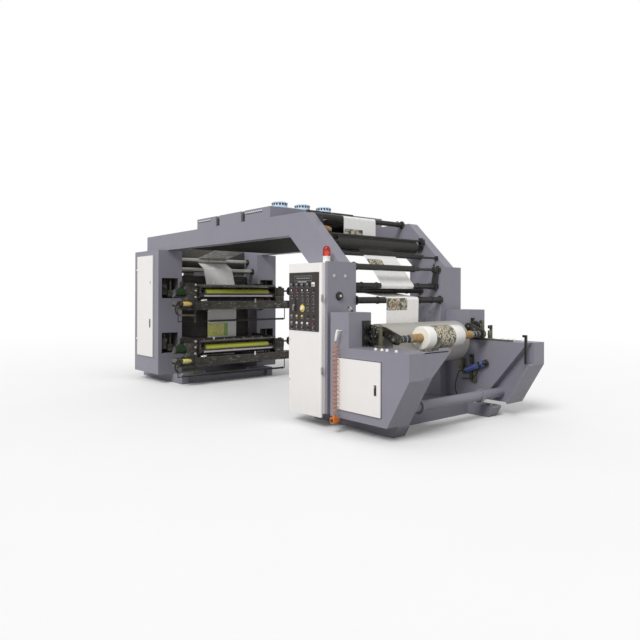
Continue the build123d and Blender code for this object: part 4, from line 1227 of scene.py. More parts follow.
@dataclass(frozen=True)
class PrintingDeck:
    """Fittings of one printing deck, placed from its roller height."""

    side: DeckSide
    level: str
    height: float
    middle: float = -2.545
    plate_x: float = -1.8682
    anilox_x: float = -1.6529
    ink_x: float = -1.5196
    face_x: float = -1.43
    beam_half: float = 1.19
    cheek: float = 0.03
    level_step: float = 0.929
    drawn_in: float = 0.024
    hand: int = 1

    def x(self, front_x: float) -> float:
        """A place along the machine, for this deck's own side of the tower."""
        return front_x if self.side is DeckSide.FRONT else 2 * self.middle - front_x

    def z(self, rise: float) -> float:
        """A height from the roller's centre."""
        return self.height + rise

    def place(self, point: Point) -> Point:
        """A point given for the front side's near end, from the roller's centre."""
        return self.x(point[0]), self.hand * point[1], self.z(point[2])

    def name(self, part: str) -> str:
        """The piece's name with its deck."""
        return f"{self.side.name.lower()}_{self.level}_{part}"

    def box(self, metal: Metal, a: Point, b: Point, bevel: float = 0.0) -> None:
        """Adds a box between two corners, given as for place."""
        metal.box(self.place(a), self.place(b), bevel)

    def rod(self, metal: Metal, a: Point, b: Point, radius: float, bevel: float = 0.002,
            sides: int = 24) -> None:
        """Adds a round bar between two points, given as for place."""
        metal.rod(self.place(a), self.place(b), radius, bevel, sides)

    def build(self) -> None:
        """Makes the deck's fittings."""
        motor_end = self if self.side is DeckSide.FRONT else replace(self, hand=-1)
        motor_end.motors()
        motor_end.receiver()
        self.adjusters()
        self.bearings()
        self.doctor_blade()
        self.gears()
        self.pipes()
        self.drive_end()
        if self.side is DeckSide.FRONT:
            self.pressure_disc()
            self.rung_sleeves()

    def motors(self) -> None:
        """Finned ink motor, pump motor and the guard below them at the deck's motor end."""
        fins = Metal()
        x = self.ink_x - 0.02
        start, end = -1.166, -1.004
        for step in range(11):
            y = start + (end - start) * (step + 0.5) / 11
            self.rod(fins, (x, y - 0.0028, 0.0), (x, y + 0.0028, 0.0), 0.067, 0.001, 32)
        self.rod(fins, (x, start, 0.0), (x, end, 0.0), 0.0615, 0.003, 32)
        self.box(fins, (x - 0.03, start + 0.03, 0.055), (x + 0.03, end - 0.03, 0.088), 0.004)
        fins.done(self.name("ink_motor"), Look.GREEN)
        cover = Metal()
        self.rod(cover, (x, -1.189, 0.0), (x, -1.158, 0.0), 0.066, 0.012, 32)
        for dx, dz in around(6, 0.04):
            self.rod(cover, (x + dx, -1.1905, dz), (x + dx, -1.186, dz), 0.007, 0.001, 12)
        cover.done(self.name("ink_motor_cover"), Look.BLACK)
        gold = Metal()
        x, z = (self.face_x + 0.03, -0.185) if self.side is DeckSide.FRONT else (self.ink_x, -0.335)
        self.rod(gold, (x, -1.105, z), (x, -0.99, z), 0.036, 0.004, 28)
        self.rod(gold, (x, -0.99, z), (x, -0.955, z), 0.027, 0.003, 28)
        for y in (-1.085, -1.06, -1.035, -1.01):
            self.rod(gold, (x, y - 0.003, z), (x, y + 0.003, z), 0.039, 0.001, 28)
        look = Look.GOLD if self.level == "upper" else Look.LIME
        gold.done(self.name("pump_motor"), look)
        mount = Metal()
        self.box(mount, (x - 0.082, -1.1, z - 0.05), (x - 0.018, -1.0, z + 0.05), 0.003)
        self.rod(mount, (x, -1.15, z), (x, -1.1, z), 0.028, 0.004)
        self.box(mount, (x - 0.05, -0.958, z - 0.036), (x + 0.025, -0.925, z + 0.036), 0.004)
        mount.done(self.name("pump_mount"), Look.DARK)
        guard = Metal()
        arc = [(-1.175, -0.15), (-1.205, -0.2), (-1.22, -0.265), (-1.205, -0.33), (-1.165, -0.365)]
        guard.tube([(self.x(self.face_x - 0.02), self.hand * y, self.z(rise)) for y, rise in arc], 0.017)
        stem = self.face_x - 0.02
        self.rod(guard, (stem, -1.175, -0.205), (stem, -1.24, -0.211), 0.009)
        tip = (self.x(stem), -self.hand * 1.238, self.z(-0.211))
        guard.turned(tip, ACROSS * -self.hand, [(0.0, 0.0), (0.003, 0.012), (0.012, 0.021), (0.022, 0.024),
                                                (0.032, 0.021), (0.038, 0.012), (0.04, 0.0)], 20)
        guard.done(self.name("pump_guard"), Look.BLACK)

    def receiver(self) -> None:
        """Olive air receiver pipe that hangs under the motors."""
        pipe = Metal()
        x = self.face_x - 0.026
        self.rod(pipe, (x, -1.165, -0.372), (x, -0.868, -0.378), 0.017)
        self.rod(pipe, (x, -1.165, -0.372), (x, -1.165, -0.28), 0.014)
        pipe.done(self.name("air_receiver"), Look.OLIVE)

    def pressure_disc(self) -> None:
        """Hand disc that sets the plate pressure, on its bracket at the operator end."""
        disc = Metal()
        x, y, rise = self.anilox_x + 0.02, -1.02, 0.15
        disc.turned((self.x(x), y, self.z(rise)), ALONG,
                    [(0.0, 0.014), (0.03, 0.014), (0.03, 0.044), (0.036, 0.048), (0.046, 0.048),
                     (0.052, 0.044), (0.052, 0.016), (0.07, 0.013), (0.074, 0.0)], 28)
        self.box(disc, (x - 0.02, y - 0.022, rise - 0.075), (x + 0.004, y + 0.022, rise + 0.02), 0.003)
        disc.done(self.name("pressure_disc"), Look.DARK)

    def rung_sleeves(self) -> None:
        """Thick dark sleeve with bright ends on the rung of the wire frame under the deck."""
        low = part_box("front_wire_rods")[0].z + 0.008
        z = low if self.level == "lower" else low + self.level_step
        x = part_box("front_wire_rods")[0].x + 0.008
        sleeve = Metal().rod((x, -0.5, z), (x, 1.05, z), 0.0175, 0.004, 20)
        sleeve.done(self.name("rung_sleeve"), Look.RUBBER)
        ends = Metal()
        for y in (-0.515, 1.05):
            ends.rod((x, y, z), (x, y + 0.02, z), 0.021, 0.002, 20)
        ends.done(self.name("rung_collars"), Look.WORN)

    def adjusters(self) -> None:
        """Bright adjusting screws and their blocks on the operator end."""
        blocks, screws = Metal(), Metal()
        drawn = 0.0 if self.side is DeckSide.FRONT else self.drawn_in
        for y, rise in ((-0.862, 0.036), (-0.868, -0.07), (-0.862, 0.135)):
            x = self.ink_x + 0.062 - drawn
            self.rod(screws, (x - 0.03, y, rise), (x + 0.058, y, rise), 0.0135, 0.003, 16)
            self.rod(screws, (x + 0.03, y, rise), (x + 0.045, y, rise), 0.02, 0.002, 6)
            self.box(blocks, (x - 0.004, y - 0.03, rise - 0.026), (x + 0.018, y + 0.03, rise + 0.026),
                     0.003)
        x = self.face_x - drawn
        self.rod(screws, (x - 0.03, -0.74, -0.132), (x + 0.03, -0.66, -0.118), 0.016, 0.003, 16)
        self.rod(screws, (x - 0.005, -0.712, -0.127), (x + 0.006, -0.697, -0.125), 0.024, 0.002, 6)
        screws.done(self.name("adjusting_screws"), Look.BRIGHT)
        self.box(blocks, (self.face_x - 0.001, -0.872, -0.3), (self.face_x + 0.01, -0.832, -0.12), 0.002)
        self.box(blocks, (self.face_x - 0.03, -0.868, -0.5), (self.face_x - 0.018, -0.836, -0.28), 0.002)
        self.box(blocks, (self.face_x - 0.03, -0.868, -0.3), (self.face_x + 0.008, -0.836, -0.285), 0.002)
        blocks.done(self.name("adjusting_blocks"), Look.DARK)

    def bearings(self) -> None:
        """Bearing housings with grease nipples and bolts outside the cheeks."""
        caps, nipples = Metal(), Metal()
        for hand in (-1, 1):
            for x, radius in ((self.plate_x, 0.062), (self.anilox_x, 0.036), (self.ink_x, 0.036)):
                y = hand * (FRAME_INNER + 0.016)
                caps.turned((self.x(x), y, self.z(0)), ACROSS * hand,
                            [(0.0, radius), (0.01, radius), (0.014, radius - 0.004),
                             (0.014, radius * 0.55), (0.022, radius * 0.5), (0.024, radius * 0.42),
                             (0.024, 0.0)], 28)
                for dx, dz in around(4, radius * 0.8, 0.5):
                    place = (self.x(x) + dx, y + hand * 0.012, self.z(dz))
                    nipples.turned(place, ACROSS * hand, [(0.0, 0.0055), (0.005, 0.0055), (0.006, 0.0)], 6)
            for x in (self.anilox_x, self.ink_x):
                place = (self.x(x), hand * (FRAME_INNER + 0.012), self.z(0.046))
                nipples.rod(place, (place[0], place[1], place[2] + 0.018), 0.004, 0.001, 10)
        caps.done(self.name("bearing_caps"), Look.DARK)
        nipples.done(self.name("bearing_bolts"), Look.BRIGHT)

    def doctor_blade(self) -> None:
        """Doctor blade with its holder and thumb screws over the anilox roller."""
        holder = Metal()
        half = FRAME_INNER - self.cheek - 0.004
        x = self.anilox_x
        outline = [(x + 0.03, 0.098), (x + 0.062, 0.112), (x + 0.066, 0.104), (x + 0.018, 0.078),
                   (x - 0.004, 0.068), (x - 0.006, 0.072)]
        points = [(self.x(px), -half, self.z(pz)) for px, pz in outline]
        holder.plate(points, Vector((0, 2 * half, 0)))
        self.rod(holder, (x + 0.04, -half, 0.118), (x + 0.04, half, 0.118), 0.013, 0.001, 20)
        holder.done(self.name("doctor_blade"), Look.STEEL)
        screws = Metal()
        for step in range(7):
            y = -0.6 + 0.2 * step
            self.rod(screws, (x + 0.04, y - 0.008, 0.118), (x + 0.04, y + 0.008, 0.118), 0.017, 0.002, 20)
            self.rod(screws, (x + 0.046, y, 0.128), (x + 0.052, y, 0.154), 0.0065, 0.002, 12)
        screws.done(self.name("blade_screws"), Look.BRIGHT)
        knob = Metal()
        self.rod(knob, (self.ink_x + 0.075, -0.5, 0.14), (self.ink_x + 0.075, -0.5, 0.172), 0.01)
        self.rod(knob, (self.ink_x + 0.075, -0.5, 0.165), (self.ink_x + 0.075, -0.5, 0.186), 0.021, 0.005)
        knob.done(self.name("pan_lock_knob"), Look.BRIGHT)

    def gears(self) -> None:
        """Drive gears of the plate cylinder and the ink rollers beside the drive-side cheek."""
        train = Metal()
        for x, radius, teeth, y0 in ((self.plate_x, 0.118, 48, -0.738), (self.anilox_x, 0.058, 26, -0.735),
                                     (self.plate_x, 0.118, 48, 0.712), (self.anilox_x, 0.058, 26, 0.715)):
            self.gear(train, x, y0, 0.022, radius, teeth)
        train.done(self.name("drive_gears"), Look.DARK, crease=20.0)

    def gear(self, metal: Metal, x: float, y: float, width: float, radius: float, teeth: int) -> None:
        """Adds one spur gear.

        Args:
            metal: the piece.
            x: its axis along the machine, for the front side.
            y: its first face.
            width: its width.
            radius: pitch radius.
            teeth: number of teeth.
        """
        depth = 0.0035
        outline = []
        for step in range(teeth * 4):
            reach = radius + (depth if step % 4 in (0, 1) else -depth)
            turn = 2 * math.pi * (step + 0.5) / (teeth * 4)
            outline.append((self.x(x) + reach * math.cos(turn), y, self.z(reach * math.sin(turn))))
        metal.plate(outline, Vector((0, width, 0)))

    def pipes(self) -> None:
        """Ink feed and return hoses of the pan, and the bright drip strip along it."""
        hoses = Metal()
        low = -0.295
        for y, back in ((-0.62, -0.55), (0.6, 0.52)):
            points = [(self.ink_x, y, -0.095), (self.ink_x + 0.02, y, -0.16),
                      (self.ink_x + 0.015, (y + back) / 2, low), (self.ink_x - 0.1, back, low - 0.02)]
            hoses.tube([self.place(point) for point in points], 0.013)
        hoses.done(self.name("ink_hoses"), Look.RUBBER)
        strip = Metal()
        self.box(strip, (self.face_x + 0.004, -0.7, -0.064), (self.face_x + 0.0155, 0.7, -0.036), 0.002)
        strip.done(self.name("pan_drip_strip"), Look.STRIP)

    def drive_end(self) -> None:
        """Hand wheel grip, bevel box and white stop on the drive end."""
        wheel = Metal()
        x, rise = self.ink_x - 0.03, 0.04
        centre = (self.x(x), self.beam_half + 0.021, self.z(rise))
        wheel.ring(centre, ACROSS, 0.071, 0.0105, 40)
        wheel.rod((centre[0], self.beam_half + 0.004, centre[2]),
                  (centre[0], self.beam_half + 0.04, centre[2]), 0.024, 0.004)
        for dx, dz in around(4, 0.068, 0.5):
            wheel.rod(centre, (centre[0] + dx, centre[1], centre[2] + dz), 0.007, 0.0, 12)
        wheel.done(self.name("hand_wheel_rim"), Look.BLACK)
        box = Metal()
        face = self.face_x - (0.0 if self.side is DeckSide.FRONT else 0.006)
        self.box(box, (face - 0.002, 0.8, -0.05), (face + 0.018, 0.97, 0.085), 0.006)
        self.box(box, (face - 0.002, 0.84, 0.085), (face + 0.01, 0.92, 0.125), 0.004)
        for y, z in ((0.82, -0.03), (0.95, -0.03), (0.82, 0.065), (0.95, 0.065)):
            self.rod(box, (face + 0.016, y, z), (face + 0.024, y, z), 0.008, 0.001, 6)
        box.done(self.name("bevel_box"), Look.DARK)
        stop = Metal()
        self.box(stop, (self.face_x - 0.004, 0.322, -0.172), (self.face_x + 0.01, 0.348, -0.102), 0.002)
        stop.done(self.name("pan_stop"), Look.PALE)


@dataclass(frozen=True)
class RearEnds:
    """Operator ends of the rear decks, drawn in so that they stop behind the print frame."""

    fixed: float = -0.808
    limit: float = -0.95
    parts: tuple[tuple[str, str, Look], ...] = (("rear_deck_drives", "rear_deck_beams", Look.BEAM),
                                                ("rear_wire_rods", "rear_wire_frames", Look.BLACK))

    def build(self, nodes: dict[str, bpy.types.Object]) -> None:
        """Makes the shorter pieces, which stand for the solids.

        Args:
            nodes: the solids by name.
        """
        for node, name, look in self.parts:
            data = nodes[node].data.copy()
            data.name = name
            end = min(vert.co.y for vert in data.vertices)
            factor = (self.fixed - self.limit) / (self.fixed - end)
            for vert in data.vertices:
                if vert.co.y < self.fixed:
                    vert.co.y = self.fixed + (vert.co.y - self.fixed) * factor
            data.materials.clear()
            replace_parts(seat(name, data, look), node)
            LOG.info("%s: ends at %.3f", name, self.limit)


@dataclass(frozen=True)
class RollerEnds:
    """Flanged bearings where the guide rollers meet the frames and beams."""

    in_tower: tuple[Pair, ...] = ((-2.92, 0.33), (-2.91, 1.985), (-2.58, 1.985), (-2.5, 0.3),
                                  (-2.15, 0.33), (-2.21, 1.985), (-2.39, 2.17))
    in_bridge: tuple[Pair, ...] = ((-0.9, 2.415), (1.616, 2.572), (1.696, 2.17), (1.97, 2.205))
    in_winding: tuple[Pair, ...] = ((2.33, 1.66), (2.06, 1.6), (2.41, 1.478), (2.37, 1.885))

    def build(self) -> None:
        """Makes the bearings of the three stretches of the film path."""
        stretches = (("tower", self.in_tower, FRAME_INNER, 0.046),
                     ("bridge", self.in_bridge, BEAM_INNER, 0.044),
                     ("winding", self.in_winding, FRAME_INNER, 0.044))
        for name, places, inner, radius in stretches:
            flanges, bolts = Metal(), Metal()
            for x, z in places:
                for hand in (-1, 1):
                    self.flange(flanges, bolts, x, z, hand, inner, radius)
            flanges.done(f"{name}_roller_bearings", Look.DARK)
            bolts.done(f"{name}_bearing_screws", Look.BRIGHT)

    def flange(self, flanges: Metal, bolts: Metal, x: float, z: float, hand: int, inner: float,
               radius: float) -> None:
        """Adds one flanged bearing with its screws.

        Args:
            flanges: the piece that holds the flanges.
            bolts: the piece that holds the screws.
            x: the roller's place along the machine.
            z: its height.
            hand: -1 for the operator side, 1 for the drive side.
            inner: distance of the wall's inner face from the middle.
            radius: size of the flange.
        """
        start = (x, hand * inner, z)
        way = ACROSS * -hand
        reach = 1.32 * radius
        flanges.turned(start, way, [(0.0, reach), (0.008, reach), (0.01, reach - 0.003), (0.01, radius),
                                    (0.019, radius - 0.003), (0.019, 0.0)], 28)
        for dx, dz in around(4, 1.16 * radius, 0.5):
            bolts.turned((x + dx, hand * (inner - 0.009), z + dz), way,
                         [(0.0, 0.005), (0.004, 0.005), (0.005, 0.0)], 6)


@dataclass(frozen=True)
class Bridge:
    """The bridge over the walkway: hood louvres, fans and the web gear at its winding end."""

    fan_x: float = 0.86
    fan_ys: tuple[float, ...] = (-0.79, -0.39, 0.01)
    fan_radius: float = 0.118
    louvre_rows: tuple[tuple[float, float, int], ...] = ((-0.935, -0.554, 6), (0.435, 0.859, 7))
    louvre_drop: float = 0.03

    def build(self) -> None:
        """Dresses the bridge."""
        self.louvres()
        self.fans()
        self.web_gear()
        self.static_bars()
        self.joints()

    def louvres(self) -> None:
        """Rows of pressed louvres with bright lips along the top of the hood's sides, and black painted
        shade in the slots under them.
        """
        low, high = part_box("drying_hood")
        lips, shade_slots = Metal(), Metal()
        for hand, face in ((-1, low.y), (1, high.y)):
            for start, end, count in self.louvre_rows:
                pitch = (end - start) / count
                for step in range(count):
                    x = start + step * pitch
                    z = high.z - self.louvre_drop
                    outline = [(x, face - hand * 0.001, z), (x, face + hand * 0.011, z - 0.014),
                               (x, face - hand * 0.001, z - 0.016)]
                    lips.plate(outline, Vector((pitch * 0.62, 0, 0)))
                    # Black plate: painted shade for the opening under each louvre.
                    shade_slots.box((x, face - hand * 0.001, z - 0.032),
                              (x + pitch * 0.62, face + hand * 0.0012, z - 0.0165))
        lips.done("hood_louvre_lips", Look.PALE)
        shade_slots.done("hood_louvre_slots", Look.BLACK)

    def fans(self) -> None:
        """Air slots painted black as the shade inside them, guard rings and hubs of the exhaust fans."""
        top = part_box("hood_fans")[1].z
        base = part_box("drying_hood")[1].z + 0.014
        shade_slots, guards, hubs = Metal(), Metal(), Metal()
        for y in self.fan_ys:
            reach = (self.fan_radius - 0.008) * math.cos(math.pi / 16)
            for dx, dy in around(16, 1.0, 0.5):
                out, side = Vector((dx, dy, 0)), Vector((-dy, dx, 0))
                middle = Vector((self.fan_x, y, base + 0.047)) + out * (reach - 0.001)
                rise = Vector((0, 0, 0.015))
                corners = [middle - side * 0.012 - rise, middle + side * 0.012 - rise,
                           middle + side * 0.012 + rise, middle - side * 0.012 + rise]
                # Black plate: painted shade for each air slot's opening.
                shade_slots.plate(corners, out * 0.0025)
            for radius in (0.088, 0.066, 0.044):
                guards.ring((self.fan_x, y, top - 0.0035), UP, radius, 0.0032, 40)
            for start, end in zip(around(6, 0.02), around(6, 0.09)):
                guards.rod((self.fan_x + start[0], y + start[1], top - 0.004),
                           (self.fan_x + end[0], y + end[1], top - 0.004), 0.003, 0.0, 8)
            hubs.rod((self.fan_x, y, top - 0.016), (self.fan_x, y, top - 0.0012), 0.026, 0.004)
        shade_slots.done("fan_air_slots", Look.BLACK)
        guards.done("fan_guard_rings", Look.BRIGHT)
        hubs.done("fan_hubs", Look.FAN)

    def web_gear(self) -> None:
        """Web guide motor, its brackets, the knurled knob and the eye of the top roller."""
        wall = -BEAM_INNER
        motor = Metal()
        motor.rod((1.795, wall + 0.055, 2.395), (1.795, wall + 0.215, 2.372), 0.042, 0.006, 28)
        for step in range(6):
            y = wall + 0.075 + 0.022 * step
            motor.rod((1.795, y - 0.003, 2.3925 - 0.003 * step), (1.795, y + 0.003, 2.3922 - 0.003 * step),
                      0.046, 0.001, 28)
        motor.done("web_guide_motor", Look.CARD)
        cap = Metal().rod((1.722, wall + 0.02, 2.492), (1.722, wall + 0.12, 2.486), 0.03, 0.008)
        cap.rod((1.722, wall + 0.118, 2.486), (1.722, wall + 0.135, 2.485), 0.016, 0.003)
        cap.done("web_guide_cap", Look.AMBER)
        arm = Metal()
        arm.box((1.69, wall, 2.3), (1.9, wall + 0.022, 2.53), 0.004)
        arm.box((1.75, wall + 0.02, 2.335), (1.84, wall + 0.06, 2.44), 0.004)
        arm.box((1.85, wall + 0.01, 2.215), (1.935, wall + 0.19, 2.3), 0.005)
        arm.box((1.88, wall + 0.15, 2.15), (1.925, wall + 0.2, 2.29), 0.004)
        arm.rod((1.905, wall + 0.19, 2.262), (1.905, wall + 0.235, 2.262), 0.02, 0.003)
        arm.tube([(1.76, wall + 0.15, 2.375), (1.765, wall + 0.22, 2.35), (1.85, wall + 0.215, 2.31),
                  (1.89, wall + 0.15, 2.29)], 0.008)
        arm.done("web_guide_brackets", Look.BLACK)
        eye = Metal().rod((1.93, wall + 0.225, 2.265), (1.945, wall + 0.225, 2.265), 0.013, 0.002)
        eye.rod((1.905, wall + 0.23, 2.262), (1.905, wall + 0.243, 2.262), 0.01, 0.002)
        eye.done("web_edge_sensor", Look.PALE)
        rod = Metal().box((1.592, wall - 0.012, 2.575), (1.64, wall + 0.006, 2.64), 0.003)
        rod.rod((1.616, wall - 0.004, 2.626), (1.616, -0.1, 2.626), 0.0115, 0.003)
        rod.done("web_cut_rod", Look.DARK)
        knob = Metal()
        x, z = 2.03, 2.302
        knob.turned((x, 0.8, z), ACROSS, [(0.0, 0.02), (0.01, 0.024), (0.012, 0.04), (0.02, 0.046),
                                          (0.044, 0.046), (0.052, 0.04), (0.054, 0.022), (0.086, 0.02)],
                    12)
        for dx, dz in around(6, 0.044):
            knob.rod((x + dx, 0.814, z + dz), (x + dx, 0.85, z + dz), 0.01, 0.003, 12)
        knob.done("tension_knob", Look.BLACK, crease=30.0)
        eye = Metal()
        x, z = 1.616, 2.572
        eye.box((x - 0.02, 0.872, z - 0.02), (x + 0.02, 0.888, z + 0.036), 0.003)
        eye.rod((x, 0.8, z), (x, 0.83, z), 0.04, 0.004)
        eye.ring((x, 0.79, z + 0.03), ALONG, 0.02, 0.005, 24)
        eye.done("top_roller_eye", Look.DARK)

    def static_bars(self) -> None:
        """Clamp blocks of the two thin bars, and the brush of one of them."""
        clamps = Metal()
        for x, z in ((2.03, 2.302), (2.272, 2.054)):
            for hand in (-1, 1):
                inner = hand * BEAM_INNER
                clamps.box((x - 0.03, inner, z - 0.03), (x + 0.03, inner - hand * 0.02, z + 0.03), 0.004)
        clamps.box((2.258, -0.6, 2.07), (2.286, 0.6, 2.084), 0.002)
        clamps.done("thin_bar_clamps", Look.BLACK)
        fibres = Metal()
        for step in range(120):
            y = -0.595 + 1.19 * step / 119
            lean = 0.002 * math.sin(step * 1.7)
            fibres.rod((2.272 + lean, y, 2.083), (2.268 - lean, y, 2.104), 0.0012, 0.0, 4)
        fibres.done("static_brush", Look.OLIVE)

    def joints(self) -> None:
        """Bolts that hold the beams down and the cable glands in the hood's grooves."""
        for name, hand in (("operator", -1), ("drive", 1)):
            places = [(x, hand * BEAM_INNER, 2.03 + 0.05 * (step % 2)) for step,
                      x in enumerate((-2.8, -2.7, -2.42, -2.32))]
            hex_bolts(f"{name}_beam_bolts", places, ACROSS * -hand, 0.012)
        low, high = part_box("drying_hood")
        glands = Metal()
        for x in (-0.403 + 0.0525, 0.303 + 0.0525):
            for hand, wall in ((-1, low.y + 0.024), (1, high.y - 0.024)):
                glands.tube([(x - 0.02, wall + hand * 0.01, 2.584), (x - 0.02, wall + hand * 0.01, 2.7),
                             (x - 0.02, wall - hand * 0.01, 2.72)], 0.008)
                glands.tube([(x + 0.015, wall + hand * 0.01, 2.584), (x + 0.015, wall + hand * 0.01, 2.68),
                             (x + 0.015, wall - hand * 0.01, 2.7)], 0.006)
        glands.done("hood_cables", Look.RUBBER)


class WindingTower:
    """Fittings of the winding tower's frames and rollers."""

    def build(self) -> None:
        """Dresses the winding tower."""
        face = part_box("operator_wind_frame")[1].x
        bright = Metal()
        for y, z in ((-1.141, 1.764), (-0.969, 1.764)):
            bright.turned((face, y, z), ALONG, [(0.0, 0.022), (0.004, 0.022), (0.006, 0.014),
                                                (0.014, 0.013), (0.016, 0.0)], 6)
        bright.turned((face + 0.024, -1.062, 1.529), ALONG,
                      [(0.0, 0.017), (0.01, 0.017), (0.014, 0.012), (0.015, 0.0)], 20)
        bright.turned((face, -0.888, 1.376), ALONG, [(0.0, 0.03), (0.006, 0.03), (0.008, 0.02),
                                                     (0.022, 0.02), (0.026, 0.012), (0.03, 0.0)], 6)
        bright.done("wind_frame_bolts", Look.BRIGHT, crease=25.0)
        dark = Metal()
        dark.turned((face, -1.062, 1.529), ALONG, [(0.0, 0.05), (0.006, 0.052), (0.018, 0.05),
                                                   (0.026, 0.04), (0.026, 0.0)], 12)
        dark.rod((face, -0.92, 1.4), (face + 0.012, -0.85, 1.34), 0.008, 0.002)
        dark.done("tension_dial", Look.BLACK, crease=30.0)
        self.collars()
        self.spreader_ends()
        places = [(2.7, y, 0.176) for y in (-0.6, -0.2, 0.2, 0.6)]
        places += [(x, hand * 0.86, 0.145) for hand in (-1, 1) for x in (2.93, 3.18)]
        hex_bolts("wind_base_bolts", places, UP, 0.016)
        self.bearing_plates()

    def collars(self) -> None:
        """Clamping collars and lay-on rings on the guide rollers near the winder."""
        rings = Metal()
        for x, z, radius, places in ((2.33, 1.66, 0.035, (-0.62, -0.36, 0.42, 0.66)),
                                     (2.41, 1.478, 0.04, (-0.42, 0.36, 0.6)),
                                     (2.06, 1.6, 0.035, (-0.5, 0.5))):
            for y in places:
                rings.rod((x, y - 0.01, z), (x, y + 0.01, z), radius + 0.007, 0.002, 28)
                rings.rod((x, y, z + radius), (x, y, z + radius + 0.011), 0.0045, 0.001, 6)
        rings.done("roller_collars", Look.BLACK)

    def spreader_ends(self) -> None:
        """Thick sleeves and lumps on the spreader bar."""
        ends = Metal()
        x, z = 2.37, 1.885
        for start, end, radius in ((-0.77, -0.742, 0.046), (0.255, 0.3, 0.044), (0.3, 0.4, 0.027),
                                   (0.69, 0.725, 0.04), (0.765, 0.785, 0.03)):
            ends.rod((x, start, z), (x, end, z), radius, 0.004, 24)
        ends.rod((x, 0.708, z), (x, 0.708, z + 0.06), 0.007, 0.002, 12)
        ends.rod((x, 0.708, z + 0.055), (x, 0.708, z + 0.075), 0.014, 0.004, 16)
        ends.done("spreader_ends", Look.RUBBER)

    def bearing_plates(self) -> None:
        """Small painted plates over spare roller seats on the drive frame."""
        plates = Metal()
        for x, z in ((2.085, 1.38), (2.12, 1.21), (2.235, 1.33)):
            plates.box((x - 0.028, FRAME_INNER - 0.006, z - 0.035), (x + 0.028, FRAME_INNER, z + 0.035),
                       0.002)
            plates.rod((x, FRAME_INNER - 0.012, z), (x, FRAME_INNER - 0.005, z), 0.014, 0.002)
        plates.done("spare_seat_plates", Look.FRAME)


class Control(Enum):
    """The kinds of controls on the operating panel."""

    METER = "M"
    KNOB = "K"
    LAMP = "L"
    BUTTON = "B"
    BLANK = "-"


